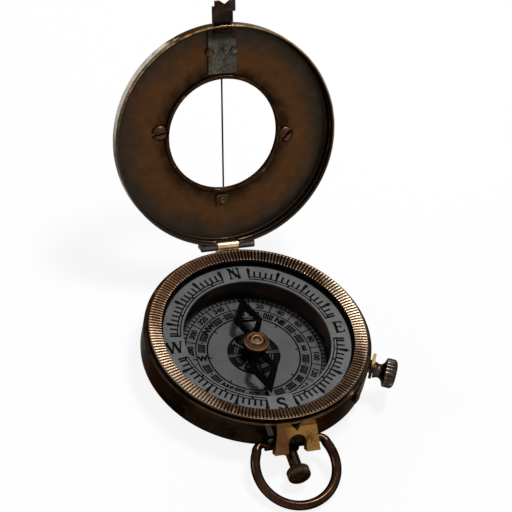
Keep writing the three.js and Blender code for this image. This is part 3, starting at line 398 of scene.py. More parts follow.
@dataclass(frozen=True)
class LidBronze(AgedMetal):
    """The lid's bronze: a golden band round the window, grey patina towards the wall, painted shade by the
    inner wall, a painted highlight along the rim and a painted highlight on the outside of the wall.
    """

    gold: Colour = (0.056, 0.0245, 0.0095)
    grey: Colour = (0.0235, 0.0175, 0.0125)
    band_scale: float = 0.11
    band_swing: float = 9.0
    inner_border: Pair = (15.0, 20.5)
    outer_border: Pair = (23.5, 29.0)
    mottle: float = 0.5
    mottle_scale: float = 0.32
    mottle_edges: Pair = (0.45, 0.75)
    soot: float = 0.6
    soot_dark: float = 0.35
    soot_scale: float = 0.3
    soot_swing: float = 14.0
    soot_border: Pair = (19.6, 16.4)
    smooth: float = 0.2
    smooth_border: Pair = (30.65, 30.95)
    # Painted highlight: a pale band on the outside of the wall, on the side where it catches the light.
    handled: Colour = (0.62, 0.58, 0.52)
    handled_side: Corner = (-0.86, -0.5, 0.0)
    handled_reach: Pair = (25.5, 31.0)
    handled_scale: float = 0.5
    handled_swing: float = 8.0
    handled_border: Pair = (30.85, 31.1)
    handled_heights: Pair = (0.6, 1.6)
    # Painted highlight: a thin golden line along the rim, on one side.
    rim_gold: Colour = (0.3, 0.165, 0.075)
    rim_border: Pair = (30.72, 30.87)
    rim_heights: Pair = (0.35, 0.175)
    rim_side: Corner = (0.2, -0.98, 0.0)
    rim_reach: Pair = (-4.0, 20.0)
    rim_scale: float = 0.4
    rim_patches: Pair = (0.3, 0.6)
    # Painted shade: a dark band where the wall shades the plate, on one side.
    corner_dark: float = 0.5
    corner_share: float = 0.75
    corner_start: Pair = (28.6, 30.3)
    corner_stop: Pair = (30.72, 30.6)
    corner_side: Corner = (0.55, -0.83, 0.0)
    corner_reach: Pair = (-16.0, 4.0)

    def base_colour(self, graph: Graph, place: Wire) -> Wire:
        """A golden band between a sooty ring and a grey one, with uneven borders.

        Args:
            graph: The material's nodes.
            place: The place on the lid.

        Returns:
            The colour.
        """
        radius = graph.radius(place)
        ring = graph.uneven(radius, place, self.band_scale, Grain.SOFT, self.band_swing)
        sooty = graph.uneven(radius, place, self.soot_scale, Grain.CRUMBLED, self.soot_swing)
        band = graph.mix(graph.spread(ring, *self.inner_border), self.dark, self.gold)
        soot = graph.spread(sooty, *self.soot_border) * self.soot
        band = graph.mix(soot, band, dimmed(self.dark, self.soot_dark))
        cloud = graph.noise(place, self.mottle_scale, Grain.BLOTCHED)
        band = graph.mix(graph.spread(cloud, *self.mottle_edges) * self.mottle, band, self.mid)
        return graph.mix(graph.spread(ring, *self.outer_border), band, self.grey)

    def gloss(self, graph: Graph, place: Wire) -> "Wire | float":
        """Rubbed smooth on the outside of the wall."""
        return self.roughness - graph.spread(graph.radius(place), *self.smooth_border) * self.smooth

    def polish(self, graph: Graph, place: Wire, shade: Wire) -> Wire:
        """Painted shade by the inner wall, a painted highlight along the rim, and a painted highlight on the
        outside of the wall.

        Args:
            graph: The material's nodes.
            place: The place on the lid.
            shade: The colour so far.

        Returns:
            The colour.
        """
        radius = graph.radius(place)
        height = graph.part(place, "Z")
        # Painted shade by the inner wall.
        inner = graph.spread(radius, *self.corner_start) * graph.spread(radius, *self.corner_stop)
        inner = inner * graph.spread(graph.towards(place, self.corner_side), *self.corner_reach)
        shade = graph.mix(inner * self.corner_share, shade, dimmed(self.dark, self.corner_dark))
        # Painted highlight along the rim.
        rim = graph.spread(radius, *self.rim_border) * graph.spread(height, *self.rim_heights)
        rim = rim * graph.spread(graph.towards(place, self.rim_side), *self.rim_reach)
        patchy = graph.spread(graph.noise(place, self.rim_scale, Grain.CLOUDY), *self.rim_patches)
        shade = graph.mix(rim * patchy, shade, self.rim_gold)
        # Painted highlight on the outside of the wall.
        wall = graph.spread(radius, *self.handled_border) * graph.spread(height, *self.handled_heights)
        reach = graph.uneven(graph.towards(place, self.handled_side), place, self.handled_scale,
                             Grain.BLOTCHED, self.handled_swing)
        return graph.mix(wall * graph.spread(reach, *self.handled_reach), shade, self.handled)


@dataclass(frozen=True)
class RibBrass(AgedMetal):
    """The bezel's brass, with painted shade on the lip inside the ribs, grime and painted shade between
    them, painted glints at the rib ends and painted highlights on two sides.
    """

    ribs: int = 192
    # Painted shade: the lip's inner wall is coloured near black, as the bezel's lip shades it.
    lip: Colour = (0.006, 0.005, 0.004)
    lip_border: Pair = (26.32, 26.42)
    ribs_border: Pair = (29.66, 29.56)
    # Painted highlight: the ribs on the left and right sides are coloured bright, where they catch the
    # light.
    grip_sides: tuple[Corner, Corner] = ((-1.0, -0.35, 0.0), (1.0, 0.1, 0.0))
    grip_reach: Pair = (24.0, 30.0)
    grip_share: float = 0.85
    # Grime and painted shade: the valleys between the ribs are coloured dark.
    valley: Colour = (0.0125, 0.006, 0.003)
    valley_edges: Pair = (0.0, -0.7)
    # Painted glint: a bright dot at the outer end of each rib's crest.
    tip: Colour = (0.5, 0.4, 0.31)
    tip_share: float = 0.42
    tip_border: Pair = (29.16, 29.36)
    tip_edges: Pair = (0.1, 0.6)
    bare: Colour = (0.078, 0.038, 0.0195)
    bare_side: Corner = (-0.66, 0.75, 0.0)
    bare_reach: Pair = (16.0, 29.0)
    bare_share: float = 0.75
    rim: Colour = (0.045, 0.0245, 0.0115)
    rim_border: Pair = (29.66, 29.81)
    rim_share: float = 0.93

    def polish(self, graph: Graph, place: Wire, shade: Wire) -> Wire:
        """Painted highlights on two sides, painted glints at the rib ends, then grime and painted shade
        between the ribs and painted shade on the lip.

        Args:
            graph: The material's nodes.
            place: The place on the ring.
            shade: The colour so far.

        Returns:
            The colour.
        """
        radius = graph.radius(place)
        # Painted highlight on the left and right sides.
        left, right = (
            graph.spread(graph.towards(place, side), *self.grip_reach) for side in self.grip_sides)
        shade = graph.mix((left + right) * self.grip_share, shade, self.bright)
        around = graph.node("ShaderNodeMath", {"operation": "ARCTAN2"}, {
            0: graph.part(place, "Y"), 1: graph.part(place, "X")})
        wave = graph.node("ShaderNodeMath", {"operation": "COSINE"}, {0: around * self.ribs})
        ribbed = graph.spread(radius, *self.ribs_border)
        bare = graph.spread(graph.towards(place, self.bare_side), *self.bare_reach)
        shade = graph.mix(bare * self.bare_share, shade, self.bare)
        # Painted glints at the rib ends.
        tip = graph.spread(radius, *self.tip_border) * graph.spread(wave, *self.tip_edges) * ribbed
        shade = graph.mix(tip * self.tip_share * (1.0 - bare), shade, self.tip)
        # Grime and painted shade in the valleys.
        grime_and_valley_shade = graph.spread(wave, *self.valley_edges) * ribbed * (1.0 - bare * self.bare_share)
        shade = graph.mix(grime_and_valley_shade, shade, self.valley)
        shade = graph.mix(graph.spread(radius, *self.rim_border) * self.rim_share, shade, self.rim)
        # Painted shade on the lip.
        return graph.mix(graph.spread(radius, *self.lip_border), self.lip, shade)


@dataclass(frozen=True)
class PittedSteel(AgedMetal):
    """Grey steel with rust, dark pits and soot round a spot, and painted shade above a height."""

    black: float = 0.3
    rust: Colour = (0.035, 0.022, 0.014)
    rust_scale: float = 0.5
    rust_crumbs: float = 0.7
    rust_edges: Pair = (0.5, 0.66)
    dark_above: float = 1000.0
    dark_fade: float = 1.2
    dark_share: float = 0.85
    pits: float = 0.8
    pit_scale: float = 1.5
    pit_crumbs: float = 0.75
    pit_edges: Pair = (0.52, 0.6)
    patch_scale: float = 0.3
    patch_edges: Pair = (0.45, 0.6)
    soot: float = 0.0
    soot_scale: float = 1.1
    soot_edges: Pair = (0.38, 0.58)
    soot_middle: Corner = (0.9, 60.4, 59.7)
    soot_reach: Pair = (3.4, 1.02)

    def base_colour(self, graph: Graph, place: Wire) -> Wire:
        """Grey with brown stains, pits and soot, and painted shade above a height.

        Args:
            graph: The material's nodes.
            place: The place on the piece.

        Returns:
            The colour.
        """
        black = dimmed(self.dark, self.black)
        stain = graph.noise(place, self.rust_scale, Grain.CRUMBLED, self.rust_crumbs)
        grey = graph.mix(graph.spread(stain, *self.rust_edges), super().base_colour(graph, place), self.rust)
        pit = graph.noise(place, self.pit_scale, Grain.CRUMBLED, self.pit_crumbs)
        pit = graph.spread(pit, *self.pit_edges)
        patch = graph.spread(graph.noise(place, self.patch_scale, Grain.PLAIN), *self.patch_edges)
        grey = graph.mix(pit * patch * self.pits, grey, black)
        smut = graph.noise(place, self.soot_scale, Grain.CRUMBLED, self.pit_crumbs)
        smut = graph.spread(smut, *self.soot_edges)
        near = graph.spread(graph.distance(place, self.soot_middle), *self.soot_reach)
        grey = graph.mix(smut * near * self.soot, grey, black)
        # Painted shade: darker above a height, where the lid's rim shades the plate.
        high = graph.spread(graph.part(place, "Z"), self.dark_above, self.dark_above + self.dark_fade)
        return graph.mix(high * self.dark_share, grey, black)


@dataclass(frozen=True)
class HookCopper(AgedMetal):
    """Dark copper with painted shade below a height, where it goes into the lid."""

    black: float = 0.3
    lid_edge: Pair = (66.4, 67.0)

    def base_colour(self, graph: Graph, place: Wire) -> Wire:
        """Blotched copper above the lid's edge, with painted shade below it."""
        # Painted shade below the lid's edge.
        above = graph.spread(graph.part(place, "Z"), *self.lid_edge)
        return graph.mix(above, dimmed(self.dark, self.black), super().base_colour(graph, place))


@dataclass(frozen=True)
class CapBrass(AgedMetal):
    """Brown brass that is rubbed golden on its edge, with a painted highlight on the boss in its middle."""

    gold: Colour = (0.165, 0.072, 0.0245)
    gold_share: float = 0.9
    edge_border: Pair = (3.06, 3.28)
    boss_border: Pair = (2.05, 1.83)

    def polish(self, graph: Graph, place: Wire, shade: Wire) -> Wire:
        """Rubbed gold on the edge and a painted highlight on the boss.

        Args:
            graph: The material's nodes.
            place: The place on the cap.
            shade: The colour so far.

        Returns:
            The colour.
        """
        radius = graph.radius(place)
        # Rubbed gold on the edge, plus a painted highlight on the boss.
        rubbed = graph.spread(radius, *self.edge_border) + graph.spread(radius, *self.boss_border)
        return graph.mix(rubbed * self.gold_share, shade, self.gold)


@dataclass(frozen=True)
class TwoToneBrass(AgedMetal):
    """Brass with a browner side, a golden, speckled side and painted shade on its tops."""

    way: Corner = (0.9, 0.0, 0.45)
    reach: Pair = (3.0, 5.6)
    gold: Colour = (0.17, 0.088, 0.023)
    speck_middle: Corner = (4.4, -36.5, 11.0)
    speck_reach: Pair = (3.6, 1.8)
    speck_scale: float = 1.6
    speck_crumbs: float = 0.7
    speck_edges: Pair = (0.46, 0.56)
    speck_dark: float = 0.5
    # Painted shade on the faces that point up.
    dull: Colour = (0.036, 0.0165, 0.0042)
    dull_tops: float = 0.95
    dull_rough: float = 0.3
    top_edges: Pair = (0.8, 0.97)

    def base_colour(self, graph: Graph, place: Wire) -> Wire:
        """Brown blotches on one side, gold with dark specks on the other, painted shade where it faces up.

        Args:
            graph: The material's nodes.
            place: The place on the piece.

        Returns:
            The colour.
        """
        near = graph.spread(graph.distance(place, self.speck_middle), *self.speck_reach)
        speck = graph.noise(place, self.speck_scale, Grain.CRUMBLED, self.speck_crumbs)
        speck = graph.spread(speck, *self.speck_edges) * near
        golden = graph.mix(speck, self.gold, dimmed(self.dark, self.speck_dark))
        side = graph.spread(graph.towards(place, self.way), *self.reach)
        brass = graph.mix(side, super().base_colour(graph, place), golden)
        # Painted shade on the tops.
        return graph.mix(self.tops(graph), brass, self.dull)

    def tops(self, graph: Graph) -> Wire:
        """Share of painted shade, and of extra roughness, where the brass faces up."""
        upward = graph.part(graph.node("ShaderNodeNewGeometry", output="Normal"), "Z")
        return graph.spread(upward, *self.top_edges) * self.dull_tops

    def gloss(self, graph: Graph, place: Wire) -> "Wire | float":
        """Rougher where it faces up."""
        return self.tops(graph) * self.dull_rough + self.roughness


@dataclass(frozen=True)
class SilveredFace(Coating):
    """Matt silvered dial metal with a fine turned grain and faint stains."""

    pale: Colour
    stained: Colour
    roughness: float = 0.55
    metallic: float = 0.25
    shine: float = 0.25
    stain_scale: float = 0.22
    stain_edges: Pair = (0.42, 0.78)
    stain_share: float = 0.8
    stain_rough: float = 0.2
    speck_scale: float = 3.5
    speck_edges: Pair = (0.62, 0.75)
    speck_share: float = 0.35
    speck_relief: float = 0.6
    brushed: Corner = (0.5, 7.0, 0.5)
    brushed_rough: float = 0.1
    relief: float = 0.06
    relief_depth: float = 0.04

    def dress(self, graph: Graph) -> None:
        """Adds the stains, the specks and the brushed grain.

        Args:
            graph: The material's nodes.
        """
        place = graph.millimetres()
        stain = graph.noise(place, self.stain_scale, Grain.BLOTCHED)
        speck = graph.noise(place, self.speck_scale, Grain.PLAIN)
        brushed = graph.noise(graph.stretched(place, self.brushed), 1.0, Grain.PLAIN)
        share = graph.spread(stain, *self.stain_edges) * self.stain_share
        share = share + graph.spread(speck, *self.speck_edges) * self.speck_share
        graph.principled({
            "Base Color": graph.mix(share, self.pale, self.stained),
            "Metallic": self.metallic,
            "Specular IOR Level": self.shine,
            "Roughness": (stain - MIDDLE) * self.stain_rough + brushed * self.brushed_rough + self.roughness,
            "Normal": graph.bump(brushed + speck * self.speck_relief, self.relief, self.relief_depth),
        })


@dataclass(frozen=True)
class InkPrint(Coating):
    """Black filled marks, slightly worn to grey."""

    ink: Colour = (0.0015, 0.0015, 0.0018)
    thin: Colour = (0.007, 0.007, 0.0075)
    wear_scale: float = 1.4
    wear_edges: Pair = (0.5, 0.75)
    wear_rough: float = 0.3
    roughness: float = 0.75
    shine: float = 0.05

    def dress(self, graph: Graph) -> None:
        """Adds the ink and its wear.

        Args:
            graph: The material's nodes.
        """
        wear = graph.noise(graph.millimetres(), self.wear_scale, Grain.CLOUDY)
        graph.principled({
            "Base Color": graph.mix(graph.spread(wear, *self.wear_edges), self.ink, self.thin),
            "Roughness": (wear - MIDDLE) * self.wear_rough + self.roughness,
            "Specular IOR Level": self.shine,
        })


@dataclass(frozen=True)
class ClearGlass(Coating):
    """Flat clear glass: light passes straight through and the surface mirrors a little."""

    tint: Colour = (0.96, 0.96, 0.96)
    mirror: Colour = (0.9, 0.92, 0.93)
    sheen: float = 0.5
    sheen_from: float = 0.66
    smear_scale: float = 0.25
    smear_edges: Pair = (0.3, 0.9)
    smear_rough: float = 0.08
    roughness: float = 0.02

    def dress(self, graph: Graph) -> None:
        """Adds the clear pane and a mirror that grows towards shallow angles.

        Args:
            graph: The material's nodes.
        """
        smear = graph.noise(graph.millimetres(), self.smear_scale, Grain.CLOUDY)
        through = graph.node("ShaderNodeBsdfTransparent", None, {"Color": (*self.tint, 1.0)})
        mirror = graph.node("ShaderNodeBsdfPrincipled", None, {
            "Base Color": (*self.mirror, 1.0),
            "Metallic": 1.0,
            "Roughness": graph.spread(smear, *self.smear_edges) * self.smear_rough + self.roughness,
        })
        facing = graph.node("ShaderNodeLayerWeight", output="Facing")
        shallow = graph.spread(facing, self.sheen_from, 1.0) * self.sheen
        graph.surface(graph.node("ShaderNodeMixShader", None, {0: shallow, 1: through, 2: mirror}))


@dataclass(frozen=True)
class PolishedStone(Coating):
    """Grey-blue bearing stone with cloudy veins."""

    pale: Colour = (0.075, 0.084, 0.095)
    deep: Colour = (0.03, 0.036, 0.045)
    vein_scale: float = 1.6
    vein_edges: Pair = (0.4, 0.62)
    vein_rough: float = 0.1
    roughness: float = 0.4
    shine: float = 0.3

    def dress(self, graph: Graph) -> None:
        """Adds the stone and its veins.

        Args:
            graph: The material's nodes.
        """
        vein = graph.noise(graph.millimetres(), self.vein_scale, Grain.BLOTCHED)
        graph.principled({
            "Base Color": graph.mix(graph.spread(vein, *self.vein_edges), self.deep, self.pale),
            "Specular IOR Level": self.shine,
            "Roughness": vein * self.vein_rough + self.roughness,
        })


class Finish(Enum):
    """The finishes of the compass."""

    CASE = AgedMetal(
        "case_bronze", dark=(0.005, 0.0034, 0.0026), mid=(0.019, 0.0122, 0.0082),
        bright=(0.13, 0.085, 0.055), roughness=0.4, blotch=0.1, fleck_share=0.2)
    LID = LidBronze(
        "lid_bronze", dark=(0.012, 0.006, 0.003), mid=(0.03, 0.0145, 0.0068), bright=(0.12, 0.066, 0.032),
        roughness=0.46, wear=0.9, fleck=3.5, fleck_share=0.22, relief=0.06, rub=0.04)
    RIB = RibBrass(
        "rib_brass", dark=(0.011, 0.0058, 0.0031), mid=(0.031, 0.0155, 0.008), bright=(0.4, 0.28, 0.19),
        roughness=0.31, fleck_share=0.1, wear=0.5, wear_edges=(0.5, 0.58), relief=0.01, rub=0.1)
    BRASS = AgedMetal(
        "bright_brass", dark=(0.27, 0.18, 0.095), mid=(0.5, 0.365, 0.225), bright=(0.68, 0.53, 0.36),
        roughness=0.36, blotch=0.3, fleck_share=0.2, wear=0.4)
    CAP = CapBrass(
        "cap_brass", dark=(0.02, 0.013, 0.009), mid=(0.046, 0.0305, 0.0225), bright=(0.34, 0.165, 0.062),
        roughness=0.38, blotch=0.35, wear=0.4, wear_edges=(0.55, 0.66))
    KNOB = AgedMetal(
        "knob_bronze", dark=(0.0125, 0.0088, 0.0066), mid=(0.045, 0.0325, 0.025), bright=(0.36, 0.29, 0.24),
        roughness=0.28, blotch=0.2)
    # The catch plate gets painted shade above a height of 62 mm, where the lid's rim shades it.
    PLATE = PittedSteel(
        "plate_steel", dark=(0.028, 0.025, 0.02), mid=(0.1, 0.09, 0.074), bright=(0.22, 0.2, 0.17),
        roughness=0.5, fleck=1.6, fleck_share=0.75, relief=0.3, wear=0.3, dark_above=62.0, soot=0.85)
    COPPER = AgedMetal(
        "copper_brown", dark=(0.01, 0.005, 0.003), mid=(0.042, 0.0195, 0.0112), bright=(0.22, 0.125, 0.08),
        roughness=0.15, blotch=0.12, fleck_share=0.15, wear=0.06, relief=0.004, rub=0.08,
        edge=(0.16, 0.14, 0.12))
    LIP = AgedMetal(
        "lip_bronze", dark=(0.0075, 0.0038, 0.0018), mid=(0.026, 0.0132, 0.0058), bright=(0.15, 0.09, 0.046),
        roughness=0.34, blotch=0.2, fleck_share=0.2, wear=0.5)
    HOOK = HookCopper(
        "dark_copper", dark=(0.007, 0.0046, 0.0036), mid=(0.024, 0.0148, 0.0112), bright=(0.13, 0.075, 0.05),
        roughness=0.36, blotch=0.2, fleck_share=0.2, wear=0.35)
    STUD = AgedMetal(
        "stud_copper", dark=(0.0092, 0.0055, 0.0031), mid=(0.031, 0.0178, 0.0092),
        bright=(0.09, 0.055, 0.031), roughness=0.38, blotch=0.3, fleck_share=0.2)
    SCREW = AgedMetal(
        "screw_copper", dark=(0.022, 0.0098, 0.006), mid=(0.085, 0.0385, 0.0235), bright=(0.25, 0.13, 0.085),
        roughness=0.34, blotch=0.3, fleck_share=0.25)
    SIGHT = AgedMetal(
        "sight_brass", dark=(0.03, 0.0145, 0.0058), mid=(0.1, 0.0545, 0.0225), bright=(0.25, 0.15, 0.07),
        roughness=0.42, blotch=0.26, fleck_share=0.35, wear=0.2)
    BLOCK = TwoToneBrass(
        "block_brass", dark=(0.045, 0.0165, 0.007), mid=(0.09, 0.036, 0.0145), bright=(0.3, 0.17, 0.055),
        roughness=0.38, blotch=0.22, fleck=1.8, fleck_share=0.3, wear=0.04)
    # On the shoe, the golden band along the top is painted light and the browner part below it is painted
    # shade.
    SHOE = TwoToneBrass(
        "shoe_brass", dark=(0.01, 0.0062, 0.0046), mid=(0.032, 0.0205, 0.015), bright=(0.36, 0.22, 0.085),
        roughness=0.36, wear=0.04, way=(0.0, 0.0, 1.0), reach=(12.0, 12.7), gold=(0.24, 0.14, 0.045),
        dull_tops=0.0)
    WELL = AgedMetal(
        "well_brown", dark=(0.03, 0.021, 0.0175), mid=(0.075, 0.05, 0.04), bright=(0.1, 0.07, 0.055),
        roughness=0.55, blotch=0.1, fleck_share=0.1, wear=0.3, relief=0.03)
    STEEL = PittedSteel(
        "worn_steel", dark=(0.03, 0.027, 0.023), mid=(0.085, 0.079, 0.07), bright=(0.3, 0.29, 0.27),
        roughness=0.48, fleck=1.6, fleck_share=0.7, relief=0.3, wear=0.4)
    DARK = AgedMetal(
        "dark_steel", dark=(0.0026, 0.0022, 0.0016), mid=(0.0075, 0.0062, 0.0044),
        bright=(0.06, 0.051, 0.04), roughness=0.5, wear=0.3, edge=(0.2, 0.18, 0.15))
    BLUED = AgedMetal(
        "blued_steel", dark=(0.0007, 0.0007, 0.0008), mid=(0.0016, 0.0016, 0.0018),
        bright=(0.006, 0.006, 0.007), roughness=0.55, fleck_share=0.0, wear=0.2, rub=0.0, relief=0.04)
    SILVER = SilveredFace("silvered_ring", pale=(0.115, 0.116, 0.118), stained=(0.08, 0.08, 0.08))
    ENAMEL = SilveredFace(
        "dial_enamel", pale=(0.088, 0.089, 0.09), stained=(0.066, 0.066, 0.066), metallic=0.1)
    INK = InkPrint("black_fill")
    GLASS = ClearGlass("clear_glass")
    AGATE = PolishedStone("agate")


def curve_point(start: Vector, corner: Vector, end: Vector, share: float) -> Vector:
    """The point at a share of the way along a curve that a corner pulls out."""
    return start * (1 - share) ** 2 + corner * (2 * share * (1 - share)) + end * share * share


def heading(points: Sequence[Vector], i: int) -> Vector:
    """The direction of a row of points at one of them."""
    return (points[min(i + 1, len(points) - 1)] - points[max(i - 1, 0)]).normalized()


def at_bearing(radius: float, bearing: float) -> Pair:
    """The point at a radius and a bearing, in degrees clockwise from +Y."""
    angle = math.radians(bearing)
    return radius * math.sin(angle), radius * math.cos(angle)


def shifted(x: float = 0.0, y: float = 0.0, z: float = 0.0) -> Matrix:
    """A move in millimetres, as a matrix in metres."""
    return Matrix.Translation(Vector((x, y, z)) * MM)


def rounded(corners: Sequence[Corner], closed: bool = True, steps: int = 4) -> list[Pair]:
    """Rounds the corners of a profile.

    Args:
        corners: (across, along, round) of each corner, the round as a length along its edges.
        closed: Whether the last corner joins the first.
        steps: Points along each round.

    Returns:
        The profile's points.
    """
    points: list[Pair] = []
    count = len(corners)
    for i, (x, y, fillet) in enumerate(corners):
        at_end = not closed and i in (0, count - 1)
        if fillet <= 0 or at_end:
            points.append((x, y))
            continue
        here = Vector((x, y))
        before = Vector(corners[i - 1][:2]) - here
        after = Vector(corners[(i + 1) % count][:2]) - here
        start = here + before.normalized() * min(fillet, ROUND_SHARE * before.length)
        end = here + after.normalized() * min(fillet, ROUND_SHARE * after.length)
        points.extend(tuple(curve_point(start, here, end, k / steps)) for k in range(steps + 1))
    return supported(points, closed)


def supported(points: Sequence[Pair], closed: bool) -> list[Pair]:
    """Adds a point near each end of the long edges, which keeps wear and shading beside the rounds.

    Args:
        points: The profile's points.
        closed: Whether the last point joins the first.

    Returns:
        The points with those added.
    """
    held: list[Pair] = []
    for i, (x, y) in enumerate(points):
        held.append((x, y))
        if i == len(points) - 1 and not closed:
            break
        end = points[(i + 1) % len(points)]
        length = math.dist((x, y), end)
        if length > 4 * SUPPORT:
            for share in (SUPPORT / length, 1 - SUPPORT / length):
                held.append((x + (end[0] - x) * share, y + (end[1] - y) * share))
    return held


@dataclass
class Form:
    """Points and faces of a piece, in millimetres."""

    points: list[Corner] = field(default_factory=list)
    faces: list[tuple[int, ...]] = field(default_factory=list)

    def _ring(self, points: Iterable[Corner]) -> range:
        """Adds points.

        Args:
            points: The points.

        Returns:
            Their places in the form.
        """
        first = len(self.points)
        self.points.extend(points)
        return range(first, len(self.points))

    def _loft(self, rings: Sequence[Sequence[int]], around: bool = False) -> None:
        """Joins rings of points by faces, whose repeated corners are dropped.

        Args:
            rings: Places of the points of each ring.
            around: Whether the last ring joins the first.
        """
        pairs = list(zip(rings, rings[1:]))
        if around:
            pairs.append((rings[-1], rings[0]))
        for low, high in pairs:
            for i, here in enumerate(low):
                k = (i + 1) % len(low)
                corners = tuple(dict.fromkeys((here, low[k], high[k], high[i])))
                if len(corners) > 2:
                    self.faces.append(corners)

    def _tube(self, rings: Sequence[Sequence[int]]) -> "Form":
        """Joins rings of points and closes both ends.

        Args:
            rings: Places of the points of each ring.

        Returns:
            This form.
        """
        self._loft(rings)
        self.faces.extend((tuple(rings[0]), tuple(rings[-1])))
        return self

    def turn(self, profile: Sequence[Pair], sides: int = TURNED_SIDES, waver: Waver | None = None) -> "Form":
        """Turns a profile about Z.

        Args:
            profile: (radius, height) points; one that starts and ends off the axis is closed on itself.
            sides: Points round the axis.
            waver: Changes (radius, height) by the profile's place, the angle, the radius and the height.

        Returns:
            This form.
        """
        angles = [2 * math.pi * i / sides for i in range(sides)]
        rings = []
        for j, (radius, height) in enumerate(profile):
            if radius < TINY:
                rings.append([*self._ring([(0.0, 0.0, height)])] * sides)
                continue
            spots = [waver(j, angle, radius, height) if waver else (radius, height) for angle in angles]
            rings.append(self._ring(
                (r * math.cos(angle), r * math.sin(angle), z) for angle, (r, z) in zip(angles, spots)))
        self._loft(rings, profile[0][0] > TINY and profile[-1][0] > TINY)
        return self

    def rod(self, radius: float, low: float, high: float, sides: int = SMALL_SIDES) -> "Form":
        """Adds a plain cylinder along Z, and returns this form."""
        return self.turn([(0.0, low), (radius, low), (radius, high), (0.0, high)], sides)

    def hoop(self, inner: float, outer: float, low: float, high: float, sides: int) -> "Form":
        """Adds a square-edged ring about Z, and returns this form."""
        return self.turn([(inner, low), (outer, low), (outer, high), (inner, high)], sides)

    def prism(self, outline: Sequence[Pair], low: float, high: float) -> "Form":
        """Adds an outline pushed up from low to high, and returns this form."""
        return self._tube([self._ring((x, y, height) for x, y in outline) for height in (low, high)])

    def box(self, x: Pair, y: Pair, z: Pair) -> "Form":
        """Adds a block between three pairs of limits, and returns this form."""
        return self.prism([(x[0], y[0]), (x[1], y[0]), (x[1], y[1]), (x[0], y[1])], *z)

    def strip(self, left: Sequence[Pair], right: Sequence[Pair], low: float, high: float) -> "Form":
        """Adds a ribbon between two rows of points, pushed up from low to high.

        Args:
            left: Points along one edge.
            right: Points along the other edge.
            low: Height of its underside.
            high: Height of its top.

        Returns:
            This form.
        """
        return self._tube([
            self._ring([(*a, low), (*b, low), (*b, high), (*a, high)]) for a, b in zip(left, right)])

    def sweep(self, path: Sequence[Vector], radii: Sequence[float], sides: int = DRILL_SIDES) -> "Form":
        """Adds a round bar along a path, with its own radius at each point.

        Args:
            path: Points of its centre line.
            radii: Radius at each point.
            sides: Points round the bar.

        Returns:
            This form.
        """
        angles = [2 * math.pi * k / sides for k in range(sides)]
        rings = []
        normal = Vector((0.0, 0.0, 1.0))
        for i, (centre, radius) in enumerate(zip(path, radii)):
            along = heading(path, i)
            normal = (normal - along * normal.dot(along)).normalized()
            across = along.cross(normal)
            rings.append(self._ring(
                tuple(centre + (normal * math.cos(a) + across * math.sin(a)) * radius) for a in angles))
        return self._tube(rings)

    def placed(self, place: Matrix) -> "Form":
        """A copy moved by a matrix."""
        return Form([tuple(place @ Vector(p)) for p in self.points], list(self.faces))

    def take(self, other: "Form") -> None:
        """Adds another form's points and faces.

        Args:
            other: The other form.
        """
        first = len(self.points)
        self.points.extend(other.points)
        self.faces.extend(tuple(first + i for i in face) for face in other.faces)

    def mesh(self, name: str) -> bpy.types.Mesh:
        """The Blender mesh, in metres, with its faces pointing out.

        Args:
            name: Name of the mesh.

        Returns:
            The mesh.
        """
        made = bpy.data.meshes.new(name)
        made.from_pydata([tuple(c * MM for c in p) for p in self.points], [], self.faces)
        work = bmesh.new()
        work.from_mesh(made)
        bmesh.ops.recalc_face_normals(work, faces=work.faces)
        work.to_mesh(made)
        work.free()
        return made


def linked(name: str, data: bpy.types.ID) -> bpy.types.Object:
    """A new object in the scene.

    Args:
        name: Its name.
        data: Its mesh, curve, lamp or camera.

    Returns:
        The object.
    """
    made = bpy.data.objects.new(name, data)
    bpy.context.scene.collection.objects.link(made)
    return made


def words(text: str, height: float, bold: float, low: float, high: float) -> Form:
    """Plain lettering, centred on the origin.

    Args:
        text: The letters or figures.
        height: Size of the letters.
        bold: How far their edges are pushed out.
        low: Height of their underside.
        high: Height of their top.

    Returns:
        The letters as a form.
    """
    curve = bpy.data.curves.new("letters", "FONT")
    curve.body = text
    curve.size = height
    curve.align_x = "CENTER"
    curve.align_y = "CENTER"
    curve.offset = bold
    curve.resolution_u = LETTER_STEPS
    curve.extrude = (high - low) / 2
    carrier = linked("letters", curve)
    shown = carrier.evaluated_get(bpy.context.evaluated_depsgraph_get())
    mesh = shown.to_mesh()
    middle = (low + high) / 2
    form = Form(
        [(v.co.x, v.co.y, v.co.z + middle) for v in mesh.vertices],
        [tuple(p.vertices) for p in mesh.polygons])
    shown.to_mesh_clear()
    bpy.data.objects.remove(carrier)
    bpy.data.curves.remove(curve)
    return form


